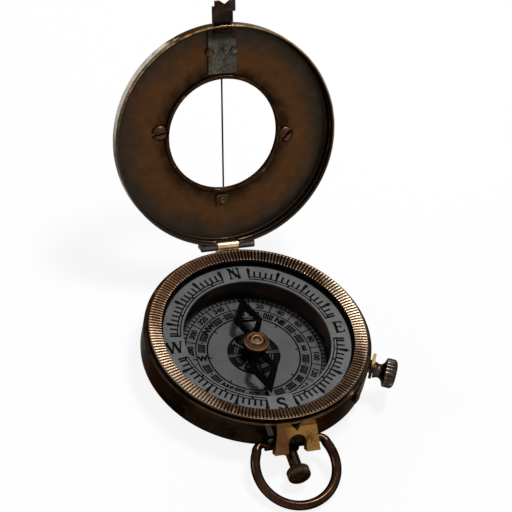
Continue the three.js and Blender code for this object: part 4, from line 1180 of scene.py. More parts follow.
class Workshop:
    """Turns forms and CAD nodes into finished pieces that ride on their bodies."""

    def __init__(self, frame: dict) -> None:
        """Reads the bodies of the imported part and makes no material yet.
        """
        self.nodes = frame["nodes"]
        self.body_of = {
            node: body
            for body, members in frame["record"]["behaviour"]["bodies"].items()
            for node in members
        }
        self.materials: dict[Finish, bpy.types.Material] = {}

    def _coat(self, mesh: bpy.types.Mesh, finish: Finish) -> None:
        """Gives a mesh its finish, whose material is made once.

        Args:
            mesh: The mesh.
            finish: Its finish.
        """
        if finish not in self.materials:
            self.materials[finish] = finish.value.build()
        mesh.materials.clear()
        mesh.materials.append(self.materials[finish])

    @staticmethod
    def _smooth(mesh: bpy.types.Mesh) -> None:
        """Shades a mesh smooth between its sharp edges."""
        mesh.polygons.foreach_set("use_smooth", [True] * len(mesh.polygons))
        mesh.set_sharp_from_angle(angle=SMOOTH_ANGLE)

    def _show(
        self, name: str, mesh: bpy.types.Mesh, finish: Finish, cutters: Iterable[Form],
    ) -> bpy.types.Object:
        """Puts a mesh in the scene with its finish and its cuts.

        Args:
            name: Name of the piece.
            mesh: Its mesh.
            finish: Its material.
            cutters: Forms cut out of it.

        Returns:
            The piece.
        """
        self._coat(mesh, finish)
        self._smooth(mesh)
        piece = linked(name, mesh)
        if cutters:
            self._carve(piece, cutters)
        return piece

    def _carve(self, piece: bpy.types.Object, cutters: Iterable[Form]) -> None:
        """Cuts forms out of a piece's mesh.

        Args:
            piece: The piece.
            cutters: Forms cut out of it.
        """
        tools = [linked("cutter", cutter.mesh("cutter")) for cutter in cutters]
        for tool in tools:
            change = piece.modifiers.new("cut", "BOOLEAN")
            change.object = tool
            change.solver = "EXACT"
        shown = piece.evaluated_get(bpy.context.evaluated_depsgraph_get())
        carved = bpy.data.meshes.new_from_object(shown)
        piece.modifiers.clear()
        piece.data = carved
        for tool in tools:
            bpy.data.objects.remove(tool)
        self._smooth(carved)

    def _mount(self, piece: bpy.types.Object, node: str, slot: Slot, stands_for: bool = True) -> None:
        """Puts a piece on its body.

        Args:
            piece: The piece.
            node: The CAD node that it stands for or lies on.
            slot: The record's slot of its finish; not used.
            stands_for: Whether it replaces the node.
        """
        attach(piece, self.body_of[node])
        if stands_for:
            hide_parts(node)
        LOG.info("%s: %d faces", piece.name, len(piece.data.polygons))

    def piece(
        self,
        name: str,
        form: Form,
        node: str,
        slot: Slot,
        finish: Finish,
        place: Matrix | None = None,
        cutters: Sequence[Form] = (),
        stands_for: bool = True,
    ) -> None:
        """Makes a piece from a form.

        Args:
            name: Name of the piece.
            form: Its shape, in millimetres of its own frame.
            node: The CAD node that it stands for or lies on.
            slot: The record's slot of its finish.
            finish: Its material.
            place: Where its own frame sits, in metres.
            cutters: Forms cut out of it.
            stands_for: Whether it replaces the node.
        """
        made = self._show(name, form.mesh(name), finish, cutters)
        if place is not None:
            made.matrix_world = place
        self._mount(made, node, slot, stands_for)

    def eased(
        self,
        name: str,
        node: str,
        slot: Slot,
        finish: Finish,
        round_off: float,
        steps: int = 3,
        cutters: Sequence[Form] = (),
    ) -> None:
        """Makes a piece with the CAD node's shape and its edges rounded off.

        Args:
            name: Name of the piece.
            node: The CAD node that it stands for.
            slot: The record's slot of its finish.
            finish: Its material.
            round_off: Width of the rounds, in millimetres.
            steps: Faces across a round.
            cutters: Forms cut out of it before its edges are rounded.
        """
        mesh = bpy.data.meshes.new(name)
        work = bmesh.new()
        work.from_mesh(self.nodes[node].data)
        bmesh.ops.remove_doubles(work, verts=work.verts, dist=TINY)
        bmesh.ops.dissolve_limit(work, angle_limit=FLAT_ANGLE, verts=work.verts, edges=work.edges)
        bmesh.ops.recalc_face_normals(work, faces=work.faces)
        work.to_mesh(mesh)
        work.free()
        made = self._show(name, mesh, finish, cutters)
        change = made.modifiers.new("round_off", "BEVEL")
        change.width = round_off * MM
        change.segments = steps
        change.limit_method = "ANGLE"
        change.angle_limit = BEVEL_ANGLE
        change.harden_normals = True
        self._mount(made, node, slot)

    def keep(self, node: str, finish: Finish) -> None:
        """Gives a CAD node that keeps its own shape a finish."""
        self._coat(self.nodes[node].data, finish)
        LOG.info("%s: kept with %s", node, finish.value.name)


def lathe(profile: Profile, sides: int = SMALL_SIDES, steps: int = 4) -> Form:
    """Turns a profile with its corners rounded.

    Args:
        profile: (radius, height, round) of each corner; one that starts off the axis is closed on itself.
        sides: Points round the axis.
        steps: Points along each round.

    Returns:
        The form.
    """
    return Form().turn(rounded(profile, profile[0][0] > TINY, steps), sides)


@dataclass(frozen=True)
class Rivet:
    """A domed head on z 0 with a shank below it."""

    head: float
    rise: float
    shank: float
    sink: float
    shoulder: Pair = (0.9, 0.62)
    flat: float = 0.45
    foot_round: float = 0.08
    dome_round: float = 0.3

    def form(self) -> Form:
        """The rivet along Z.

        Returns:
            The form.
        """
        across, up = self.shoulder
        dome = rounded([
            (self.shank, 0.0, 0.0), (self.head, 0.0, self.foot_round),
            (self.head * across, self.rise * up, self.dome_round),
            (self.head * self.flat, self.rise, self.dome_round), (0.0, self.rise, 0.0)], closed=False)
        shank = [(0.0, -self.sink), (self.shank, -self.sink), (self.shank, 0.0)]
        return Form().turn([*shank, *dome], SMALL_SIDES)


def slot_cutter(radius: float, width: float, span: Pair, turn: float) -> Form:
    """A bar that cuts a driver slot across a screw head between two heights, turned by degrees."""
    bar = Form().box((-radius - PAST, radius + PAST), (-width / 2, width / 2), span)
    return bar.placed(Matrix.Rotation(math.radians(turn), 4, "Z"))


def knurled(
    lead: Sequence[Pair], side: Sequence[Pair], crown: Sequence[Pair], count: int, depth: float,
) -> Form:
    """A turned form with straight knurls on one part of its profile.

    Args:
        lead: Points of the profile before the knurls.
        side: Points that the knurls cut into.
        crown: Points after the knurls.
        count: Number of knurls.
        depth: Depth of the knurls.

    Returns:
        The form.
    """
    rows = range(len(lead), len(lead) + len(side))

    def waver(j: int, angle: float, radius: float, height: float) -> Pair:
        """The radius and height of a point of the profile, sunk between the knurls."""
        wave = abs(math.sin(angle * count / 2)) if j in rows else 1.0
        return radius - depth * (1 - wave ** KNURL_CREST), height

    return Form().turn([*lead, *side, *crown], count * KNURL_POINTS, waver)


@dataclass
class Assembly:
    """A sub-assembly, with the workshop that its pieces are made in. Lengths in millimetres."""

    shop: Workshop


@dataclass
class CaseShell(Assembly):
    """The round case with its back cover, cover screws and dial well."""

    stud: "PushStud"
    clamp: "SideClamp"
    wall: Profile = (
        (25.2, 1.2, 0.1), (28.2, 1.2, 0.15), (28.2, 3.0, 0.15), (31.1, 3.0, 1.3), (31.1, 8.18, 0.02),
        (31.05, 8.3, 0.03), (31.1, 8.42, 0.02), (31.1, 11.7, 0.32), (29.35, 11.7, 0.08), (29.35, 8.7, 0.0),
        (28.4, 8.7, 0.0), (28.4, 4.2, 0.0), (27.7, 4.2, 0.0), (27.7, 2.4, 0.0), (25.2, 2.4, 0.0))
    cover: Profile = (
        (0.0, 0.0, 0.0), (21.5, 0.0, 0.1), (21.7, 0.18, 0.1), (22.3, 0.18, 0.1), (22.5, 0.0, 0.1),
        (27.6, 0.0, 0.6), (27.6, 1.2, 0.05), (1.0, 1.2, 0.0), (1.0, 0.36, 0.0), (0.0, 0.36, 0.0))
    liner: Profile = (
        (18.6, 2.4, 0.0), (27.5, 2.4, 0.0), (27.5, 3.0, 0.0), (21.6, 3.0, 0.0), (21.6, 9.95, 0.1),
        (20.9, 9.95, 0.2), (20.9, 3.0, 0.0), (18.6, 3.0, 0.0))
    wall_span: Pair = (27.4, 32.1)
    stud_hole: float = 1.7
    stud_room: float = 2.5
    pocket_y: Pair = (-28.4, -24.2)
    pocket_z: Pair = (0.2, 6.7)
    notch_y: Pair = (-28.5, -21.7)
    notch_z: Pair = (1.4, 4.0)
    screw: Profile = (
        (0.0, 0.1, 0.0), (1.0, 0.1, 0.18), (1.0, 0.7, 0.05), (0.55, 0.7, 0.0), (0.55, 2.1, 0.1),
        (0.0, 2.1, 0.0))
    screw_hole: tuple[Pair, ...] = (
        (0.0, -1.0), (1.1, -1.0), (1.1, 0.8), (0.65, 0.8), (0.65, 2.0), (0.0, 2.0))
    screw_circle: float = 26.4
    screw_angles: tuple[float, ...] = (60.0, 180.0, 300.0)
    screw_head: float = 1.0
    slot_width: float = 0.3
    slot_span: Pair = (-1.0, 0.4)
    slot_turn: float = 0.7

    def stud_gap(self, y: Pair, z: Pair) -> Form:
        """A block that makes room for the stud between limits of Y and Z."""
        return Form().box((self.stud.x - self.stud_room, self.stud.x + self.stud_room), y, z)

    def build_cover(self) -> None:
        """Makes the back cover and its screws."""
        holes = []
        for number, degrees in enumerate(self.screw_angles, 1):
            angle = math.radians(degrees)
            x, y = self.screw_circle * math.cos(angle), self.screw_circle * math.sin(angle)
            hole = Form().turn(self.screw_hole, SMALL_SIDES)
            holes.append(hole.placed(Matrix.Translation((x, y, 0.0))))
            slot = slot_cutter(self.screw_head, self.slot_width, self.slot_span, degrees * self.slot_turn)
            self.shop.piece(
                f"cover_screw_{number}", lathe(self.screw), f"back_screw_{number}", Slot.STEEL, Finish.STEEL,
                shifted(x, y), [slot])
        self.shop.piece(
            "back_plate", lathe(self.cover, TURNED_SIDES), "back_cover", Slot.CASE, Finish.CASE,
            cutters=holes)

    def build(self) -> None:
        """Makes the case, its cover and its well."""
        hole = Form().rod(self.stud_hole, *self.wall_span).placed(self.stud.matrix())
        pocket = self.stud_gap(self.pocket_y, self.pocket_z)
        self.shop.piece(
            "case_wall", lathe(self.wall, TURNED_SIDES), "case_body", Slot.CASE, Finish.CASE,
            cutters=[hole, pocket, *self.clamp.wall_cuts(self.wall_span)])
        self.build_cover()
        self.shop.piece(
            "well_wall", lathe(self.liner, TURNED_SIDES), "well_liner", Slot.CASE, Finish.WELL,
            cutters=[self.stud_gap(self.notch_y, self.notch_z)])


@dataclass
class Bezel(Assembly):
    """The ribbed turning ring with its glass."""

    lip: Profile = ((26.05, 12.0, 0.0), (26.05, 12.25, 0.1), (26.28, 12.72, 0.0))
    skirt: Profile = (
        (29.72, 13.0, 0.0), (30.0, 13.0, 0.3), (30.0, 12.0, 0.12), (29.75, 11.9, 0.05), (29.75, 11.85, 0.0),
        (29.05, 11.85, 0.05), (29.05, 8.85, 0.1), (27.6, 8.85, 0.05), (27.6, 12.0, 0.0))
    rib_start: Pair = (26.4, 12.77)
    rib_end: Pair = (29.62, 13.0)
    ribs: int = 192
    rib_rows: int = 7
    rib_points: int = 8
    rib_depth: float = 0.24
    first_share: float = 0.55
    last_share: float = 0.45
    crest: float = 0.8
    pane: Profile = ((0.0, 10.75, 0.0), (27.4, 10.75, 0.08), (27.4, 11.95, 0.12), (0.0, 11.95, 0.0))

    def ring(self) -> Form:
        """The ring with its ribs.

        Returns:
            The ring as a form.
        """
        steps = self.rib_rows - 1
        rows = [tuple(a + (b - a) * k / steps for a, b in zip(self.rib_start, self.rib_end))
                for k in range(self.rib_rows)]
        lip = rounded(self.lip, closed=False)
        depths = {len(lip) + k: self.rib_depth for k in range(self.rib_rows)}
        depths[len(lip)] *= self.first_share
        depths[len(lip) + steps] *= self.last_share

        def waver(j: int, angle: float, radius: float, height: float) -> Pair:
            """The radius and height of a point of the profile, sunk between the ribs."""
            valley = 1 - abs(math.cos(self.ribs * angle / 2)) ** self.crest
            return radius, height - valley * depths.get(j, 0.0)

        profile = [*lip, *rows, *rounded(self.skirt, closed=False)]
        return Form().turn(profile, self.ribs * self.rib_points, waver)

    def build(self) -> None:
        """Makes the ring and the glass."""
        self.shop.piece("ribbed_bezel", self.ring(), "bezel_ring", Slot.RIB, Finish.RIB)
        self.shop.piece(
            "glass_pane", lathe(self.pane, TURNED_SIDES), "crystal_glass", Slot.GLASS, Finish.GLASS)


class Letter(Enum):
    """Serif capitals as strokes in a box one high: points of the centre line and the stroke's width."""

    N = (
        ([(-0.32, -0.5), (-0.32, 0.5)], 0.09), ([(-0.36, 0.48), (0.33, -0.5)], 0.17),
        ([(0.32, -0.5), (0.32, 0.5)], 0.09), ([(-0.5, 0.46), (-0.26, 0.46)], 0.08),
        ([(-0.46, -0.46), (-0.18, -0.46)], 0.08), ([(0.18, 0.46), (0.46, 0.46)], 0.08))
    E = (
        ([(-0.2, -0.5), (-0.2, 0.5)], 0.15), ([(-0.34, 0.46), (0.3, 0.46)], 0.08),
        ([(-0.34, -0.46), (0.33, -0.46)], 0.08), ([(-0.2, 0.02), (0.16, 0.02)], 0.07),
        ([(0.28, 0.48), (0.3, 0.28)], 0.07), ([(0.31, -0.48), (0.34, -0.26)], 0.07),
        ([(0.16, 0.12), (0.16, -0.08)], 0.07))
    S = (
        ([(0.26, 0.36), (0.12, 0.47), (-0.06, 0.47), (-0.22, 0.36), (-0.24, 0.22), (-0.14, 0.1),
          (0.12, -0.04), (0.25, -0.18), (0.24, -0.34), (0.1, -0.47), (-0.1, -0.47), (-0.27, -0.34)], 0.16),
        ([(0.27, 0.48), (0.27, 0.24)], 0.07), ([(-0.28, -0.48), (-0.28, -0.22)], 0.07))
    W = (
        ([(-0.52, 0.5), (-0.27, -0.5)], 0.16), ([(-0.27, -0.5), (0.02, 0.5)], 0.08),
        ([(0.0, 0.5), (0.26, -0.5)], 0.16), ([(0.26, -0.5), (0.52, 0.5)], 0.08),
        ([(-0.66, 0.47), (-0.36, 0.47)], 0.07), ([(-0.14, 0.47), (0.14, 0.47)], 0.07),
        ([(0.38, 0.47), (0.66, 0.47)], 0.07))


@dataclass
class Printing:
    """Marks of one dial, all on one level."""

    low: float
    high: float
    turn: float = 0.0
    weight: float = 1.35
    arc_step: float = 2.5
    form: Form = field(default_factory=Form)

    def tick(self, bearing: float, mark: Tick) -> None:
        """A straight mark along a radius.

        Args:
            bearing: Its bearing.
            mark: Radius of its inner end and outer end, its width, and its outer width if that differs.
        """
        start, end, width = mark[:3]
        near, far = width / 2, mark[-1] / 2
        angle = math.radians(bearing + self.turn)
        out = Vector((math.sin(angle), math.cos(angle)))
        side = Vector((math.cos(angle), -math.sin(angle)))
        corners = ((start, -near), (start, near), (end, far), (end, -far))
        self.form.prism([tuple(out * r + side * w) for r, w in corners], self.low, self.high)

    def arc(self, radius: float, width: float, start: float, end: float) -> None:
        """A thin mark round a circle between two bearings.

        Args:
            radius: Radius of the circle.
            width: Width of the mark.
            start: The first bearing.
            end: The last bearing.
        """
        steps = max(2, round(abs(end - start) / self.arc_step))
        bearings = [start + (end - start) * i / steps + self.turn for i in range(steps + 1)]
        inner, outer = ([at_bearing(radius + side * width / 2, b) for b in bearings] for side in (-1, 1))
        self.form.strip(inner, outer, self.low, self.high)

    def circle(self, radius: float, width: float) -> None:
        """A thin mark all round a circle."""
        self.form.hoop(radius - width / 2, radius + width / 2, self.low, self.high, PRINTED_SIDES)

    def place(self, other: Form, radius: float, bearing: float, spin: float = 0.0) -> None:
        """Puts a form at a radius and bearing.

        Args:
            other: The form, centred on the origin.
            radius: Distance of its middle from the centre.
            bearing: Bearing of its middle.
            spin: Degrees that it is turned clockwise.
        """
        x, y = at_bearing(radius, bearing + self.turn)
        turned = Matrix.Rotation(-math.radians(spin + self.turn), 4, "Z")
        self.form.take(other.placed(Matrix.Translation((x, y, 0.0)) @ turned))

    def letter(self, letter: Letter, size: float, radius: float, bearing: float) -> None:
        """Puts an upright serif capital at a radius and bearing.

        Args:
            letter: The capital.
            size: Its height.
            radius: Distance of its middle from the centre.
            bearing: Bearing of its middle.
        """
        strokes = Form()
        for line, width in letter.value:
            points = [Vector(p) * size for p in line]
            left, right = [], []
            for i, here in enumerate(points):
                along = heading(points, i)
                side = Vector((-along.y, along.x)) * width * size * self.weight / 2
                left.append(tuple(here + side))
                right.append(tuple(here - side))
            strokes.strip(left, right, self.low, self.high)
        self.place(strokes, radius, bearing)


@dataclass
class ChapterRing(Assembly):
    """The silvered ring of marks that turns with the bezel."""

    ring: Profile = ((20.2, 10.1, 0.05), (27.4, 10.1, 0.05), (27.4, 10.7, 0.05), (20.2, 10.7, 0.2))
    levels: Pair = (10.65, 10.725)
    lines: Pair = (20.95, 21.75)
    line_width: float = 0.36
    letter_gap: int = 10
    neck: Tick = (20.95, 21.75, 0.24, 0.32)
    wedge: Tick = (21.75, 24.4, 0.44, 1.1)
    point: Tick = (24.4, 25.1, 1.1, 0.15)
    stroke: Tick = (21.75, 23.85, 0.58)
    link: Tick = (20.95, 21.75, 0.58)
    comb_end: Tick = (20.95, 23.85, 0.58)
    comb_ends: tuple[int, ...] = (80, 100, 260, 280)
    north: tuple[Tick, ...] = ((21.55, 23.6, 0.2, 0.5), (23.6, 25.6, 0.5, 0.12))
    # Painted shade: a dark band at the ring's outer edge, where the bezel's lip shades it.
    seal: Pair = (26.53, 1.75)
    letter_radius: float = 23.25
    letter_size: float = 3.85

    def comb(self, marks: Printing) -> None:
        """The ticks between the capitals: wedges, strokes and short links between the two lines.

        Args:
            marks: The printing that they are added to.
        """
        for bearing in range(0, 360, 2):
            off_letter = min(bearing % 90, 90 - bearing % 90)
            if bearing % 20 == 10 and off_letter >= self.letter_gap:
                for mark in (self.neck, self.wedge, self.point):
                    marks.tick(bearing, mark)
            elif bearing % 4 == 2 and off_letter > self.letter_gap:
                marks.tick(bearing, self.stroke)
            elif bearing % 20 == 0 and off_letter >= self.letter_gap:
                marks.tick(bearing, self.link)
        for bearing in self.comb_ends:
            marks.tick(bearing, self.comb_end)

    def marks(self) -> Form:
        """Broken double lines, ticks, the four capitals, the north mark and a dark band of painted shade at
        the outer edge.

        Returns:
            The marks as one form.
        """
        marks = Printing(*self.levels)
        for start in range(0, 360, 90):
            for radius in self.lines:
                marks.arc(radius, self.line_width, start + self.letter_gap, start + 90 - self.letter_gap)
        self.comb(marks)
        for letter, bearing in ((Letter.N, 0), (Letter.E, 90), (Letter.S, 180), (Letter.W, 270)):
            marks.letter(letter, self.letter_size, self.letter_radius, bearing)
        for mark in self.north:
            marks.tick(0, mark)
        # Painted shade at the outer edge.
        marks.circle(*self.seal)
        return marks.form

    def build(self) -> None:
        """Makes the ring and its marks."""
        self.shop.piece(
            "silvered_ring", lathe(self.ring, TURNED_SIDES), "chapter_ring", Slot.SILVER, Finish.SILVER)
        self.shop.piece("ring_marks", self.marks(), "chapter_ring", Slot.BLUED, Finish.INK, stands_for=False)


@dataclass
class DialFace(Assembly):
    """The pale dial at the bottom of the well, with its printed circles and rose."""

    plate: Profile = ((2.7, 3.0, 0.0), (20.8, 3.0, 0.0), (20.8, 3.8, 0.1), (2.7, 3.8, 0.15))
    levels: Pair = (3.75, 3.82)
    star_levels: Pair = (3.75, 3.835)
    turn: float = 1.7
    figure_radius: float = 17.25
    figure_size: float = 2.2
    figure_bold: float = 0.11
    cell: Tick = (15.92, 20.7, 0.32)
    long: Tick = (18.75, 20.7, 0.46)
    short: Tick = (19.75, 20.7, 0.42)
    fine: Tick = (20.1, 20.7, 0.2)
    circles: tuple[Pair, ...] = ((18.75, 0.28), (15.92, 0.34), (12.77, 0.46))
    names: tuple[str, ...] = ("N", "NE", "E", "SE", "S", "SW", "W", "NW")
    name_radius: float = 14.345
    name_size: float = 2.4
    name_bold: float = 0.17
    pointer: Tick = (11.77, 12.77, 0.42)
    dot: float = 0.3
    dot_sides: int = 12
    bars: int = 5
    bar_from: float = 3.3
    bar_step: float = 2.35
    bar: Tick = (13.395, 15.295, 0.46)
    outer_serif: Tick = (15.045, 15.345, 0.5)
    inner_serif: Tick = (13.345, 13.645, 0.5)
    serif_turn: float = 0.5
    rose: Pair = (2.75, 7.35)
    long_ray: Tick = (3.4, 8.2, 0.24, 0.16)
    long_ray_half: float = 2.6
    short_ray: Tick = (3.3, 6.7, 0.5, 0.34)
    ray_head: Pair = (6.5, 0.4)
    ray_head_half: float = 6.0
    star_rings: tuple[Pair, ...] = ((4.55, 0.2), (5.2, 0.2))
    star_ring_from: float = 9.0
    star_ring_to: float = 36.0

    def scales(self) -> Printing:
        """The comb of degrees, the figures and their cells.

        Returns:
            The printing, to which more can be added.
        """
        marks = Printing(*self.levels, self.turn)
        for bearing in range(360):
            if bearing % 20 == 10:
                marks.tick(bearing, self.cell)
            elif bearing % 4 == 2:
                marks.tick(bearing, self.long)
            elif bearing % 2 == 0:
                marks.tick(bearing, self.short)
            else:
                marks.tick(bearing, self.fine)
        for figure in range(20, 360, 20):
            label = words(str(figure), self.figure_size, self.figure_bold, *self.levels)
            marks.place(label, self.figure_radius, figure, figure)
        for radius, width in self.circles:
            marks.circle(radius, width)
        return marks

    def ornament(self, marks: Printing) -> None:
        """The ring of points of the compass with bars and dots between them.

        Args:
            marks: The printing that it is added to.
        """
        spacing = 360 / len(self.names)
        for k, name in enumerate(self.names):
            bearing = spacing * k
            label = words(name, self.name_size, self.name_bold, *self.levels)
            marks.place(label, self.name_radius, bearing, bearing if len(name) > 1 else 0.0)
            centre = bearing + spacing / 2
            marks.place(Form().rod(self.dot, *self.levels, self.dot_sides), self.name_radius, centre)
            for step in range(2 * self.bars):
                side = -1 if step < self.bars else 1
                spot = centre + side * (self.bar_from + self.bar_step * (step % self.bars))
                marks.tick(spot, self.bar)
                marks.tick(spot + self.serif_turn, self.outer_serif)
                marks.tick(spot - self.serif_turn, self.inner_serif)
            marks.tick(bearing, self.pointer)

    def star(self) -> Form:
        """The star that is drawn on the rose.

        Returns:
            The star as a form.
        """
        star = Printing(*self.star_levels, self.turn)
        for bearing in range(0, 360, 45):
            if bearing % 90 == 0:
                star.tick(bearing - self.long_ray_half, self.long_ray)
                star.tick(bearing + self.long_ray_half, self.long_ray)
            else:
                star.tick(bearing, self.short_ray)
                star.arc(*self.ray_head, bearing - self.ray_head_half, bearing + self.ray_head_half)
            for radius, width in self.star_rings:
                star.arc(radius, width, bearing + self.star_ring_from, bearing + self.star_ring_to)
        return star.form

    def build(self) -> None:
        """Makes the dial and its printing."""
        self.shop.piece(
            "pale_dial", lathe(self.plate, TURNED_SIDES), "dial_plate", Slot.ENAMEL, Finish.ENAMEL)
        marks = self.scales()
        self.ornament(marks)
        ground = Form().hoop(*self.rose, *self.levels, FINE_SIDES)
        self.shop.piece("dial_marks", marks.form, "dial_plate", Slot.BLUED, Finish.INK, stands_for=False)
        self.shop.piece("rose_ground", ground, "dial_plate", Slot.BLUED, Finish.INK, stands_for=False)
        self.shop.piece("rose_star", self.star(), "dial_plate", Slot.ENAMEL, Finish.ENAMEL, stands_for=False)


@dataclass
class NeedleUnit(Assembly):
    """The pierced needle with its brass cap and stone."""

    needle_round: float = 0.12
    needle_steps: int = 2
    cap: Profile = (
        (0.98, 7.5, 0.0), (1.35, 7.5, 0.0), (1.35, 8.15, 0.0), (3.5, 8.15, 0.08), (3.5, 9.1, 0.12),
        (3.1, 9.3, 0.2), (2.9, 9.42, 0.1), (2.2, 9.32, 0.2), (1.85, 9.9, 0.25), (1.5, 10.1, 0.2),
        (1.13, 10.04, 0.08), (0.98, 9.75, 0.1))
    stone: Profile = (
        (0.0, 9.3, 0.0), (0.5, 9.0, 0.1), (0.93, 9.0, 0.05), (0.93, 9.6, 0.25), (0.0, 9.75, 0.0))

    def build(self) -> None:
        """Makes the needle, the cap and the stone."""
        self.shop.eased(
            "pierced_needle", "needle_blade", Slot.BLUED, Finish.BLUED, self.needle_round, self.needle_steps)
        self.shop.piece("needle_cap", lathe(self.cap, FINE_SIDES), "hub_cap", Slot.BRASS, Finish.CAP)
        self.shop.piece("cap_stone", lathe(self.stone), "pivot_jewel", Slot.AGATE, Finish.AGATE)


@dataclass
class PushStud(Assembly):
    """The push stud with its knurled cap, along -Y. Profiles are measured out from the case's axis."""

    x: float = 0.1
    z: float = 4.2
    stem: Profile = (
        (0.0, 23.2, 0.0), (0.85, 23.2, 0.2), (0.85, 27.6, 0.0), (2.2, 27.6, 0.1), (2.2, 28.2, 0.1),
        (1.6, 28.2, 0.0), (1.6, 40.2, 0.1), (1.0, 40.2, 0.0), (1.0, 42.0, 0.1), (0.0, 42.0, 0.0))
    cap_socket: tuple[Pair, ...] = ((0.0, 42.05), (1.1, 42.05), (1.1, 40.3), (2.35, 40.3))
    cap_side: tuple[Pair, ...] = ((2.8, 40.36), (3.1, 40.65), (3.1, 41.5), (3.1, 42.45), (2.98, 42.78))
    cap_crown: tuple[Pair, ...] = ((2.65, 43.0), (2.1, 43.14), (1.2, 43.2), (0.0, 43.2))
    knurls: int = 34
    knurl_depth: float = 0.16

    def matrix(self) -> Matrix:
        """From the stud's own frame, along +Z, to its place, in millimetres."""
        return Matrix.Translation((self.x, 0.0, self.z)) @ Matrix.Rotation(QUARTER, 4, "X")

    def build(self) -> None:
        """Makes the stem and the cap."""
        place = self.matrix()
        place.translation *= MM
        self.shop.piece("stud_stem", lathe(self.stem), "stud_plunger", Slot.STEEL, Finish.STUD, place)
        cap = knurled(self.cap_socket, self.cap_side, self.cap_crown, self.knurls, self.knurl_depth)
        self.shop.piece("stud_knob", cap, "stud_cap", Slot.COPPER, Finish.STUD, place)


@dataclass
class FrontFittings(Assembly):
    """The bracket, sight block and thumb ring at the front."""

    ring: float = 10.97
    wire: float = 1.31
    end_x: float = 8.4
    pivot_y: float = 32.6
    pivot_z: float = 6.8
    pin: float = 0.95
    pin_ends: Pair = (5.3, 7.0)
    bend_from: float = 7.15
    bend_corner: float = 9.35
    bend_lead: float = 13.0
    bend_steps: int = 8
    arc_steps: int = 120
    screw_spot: Corner = (-6.1, -33.65, 9.6)
    screw: Rivet = Rivet(0.75, 0.45, 0.45, 1.6)
    slot_width: float = 0.26
    slot_span: Pair = (0.22, 1.0)
    slot_turn: float = 35.0
    bracket_round: float = 0.22
    sight_round: float = 0.2
    sight_foot: Corner = (0.9, -37.0, 6.9)
    sight_lean: float = 54.4
    sight_reach: float = 8.0
    slope: tuple[Pair, ...] = ((7.2, 0.0), (9.4, -2.0), (10.5, 1.0), (7.2, 1.0))

    def slope_cutter(self) -> Form:
        """A wedge that slopes the front of the sight block's top.

        Returns:
            The cutter.
        """
        upright = Matrix(((0, 0, 1, 0), (1, 0, 0, 0), (0, 1, 0, 0), (0, 0, 0, 1)))
        lean = Matrix.Rotation(math.radians(self.sight_lean), 4, "X")
        wedge = Form().prism(self.slope, -self.sight_reach, self.sight_reach)
        return wedge.placed(Matrix.Translation(self.sight_foot) @ lean @ upright)

    def reach(self) -> float:
        """How far the ring's centre lies from its pivot."""
        return math.sqrt(self.ring ** 2 - self.end_x ** 2)

    def ring_path(self) -> tuple[list[Vector], list[float]]:
        """Centre line and radius of the bent ring, flat, with its pivot on the X axis.

        Returns:
            The points and the radius at each.
        """
        reach = self.reach()
        start = math.asin(self.end_x / self.ring) + math.radians(self.bend_lead)
        middle = []
        for i in range(self.arc_steps + 1):
            angle = start + 2 * (math.pi - start) * i / self.arc_steps
            middle.append(Vector((self.ring * math.sin(angle), self.ring * math.cos(angle) - reach, 0.0)))
        pin, far_pin, inner, corner = (
            Vector((x, 0.0, 0.0)) for x in (*self.pin_ends, self.bend_from, self.bend_corner))
        steps = range(self.bend_steps)
        head = [pin, far_pin, *(curve_point(inner, corner, middle[0], i / self.bend_steps) for i in steps)]
        grow = [self.pin + (self.wire - self.pin) * i / (self.bend_steps - 1) for i in steps]
        head_radii = [self.pin, self.pin, *grow]
        tail = [Vector((-p.x, p.y, p.z)) for p in reversed(head)]
        radii = [*head_radii, *[self.wire] * len(middle), *reversed(head_radii)]
        return [*head, *middle, *tail], radii

    def build(self) -> None:
        """Makes the bracket, its screw, the sight block and the ring."""
        self.shop.eased("stud_bracket", "front_bracket", Slot.DARK, Finish.DARK, self.bracket_round)
        self.shop.eased(
            "notched_sight", "sight_block", Slot.BRASS, Finish.BLOCK, self.sight_round,
            cutters=[self.slope_cutter()])
        place = shifted(*self.screw_spot) @ Matrix.Rotation(QUARTER, 4, "X")
        slot = slot_cutter(self.screw.head, self.slot_width, self.slot_span, self.slot_turn)
        self.shop.piece(
            "bracket_pin_screw", self.screw.form(), "bracket_screw", Slot.STEEL, Finish.STEEL, place, [slot])
        path, radii = self.ring_path()
        slope = math.asin((self.pivot_z - self.wire) / (self.reach() + self.ring))
        spot = Matrix.Translation((0.0, -self.pivot_y, self.pivot_z)) @ Matrix.Rotation(slope, 4, "X")
        ring = Form().sweep(path, radii).placed(spot)
        self.shop.piece("wire_ring", ring, "thumb_ring", Slot.COPPER, Finish.COPPER)


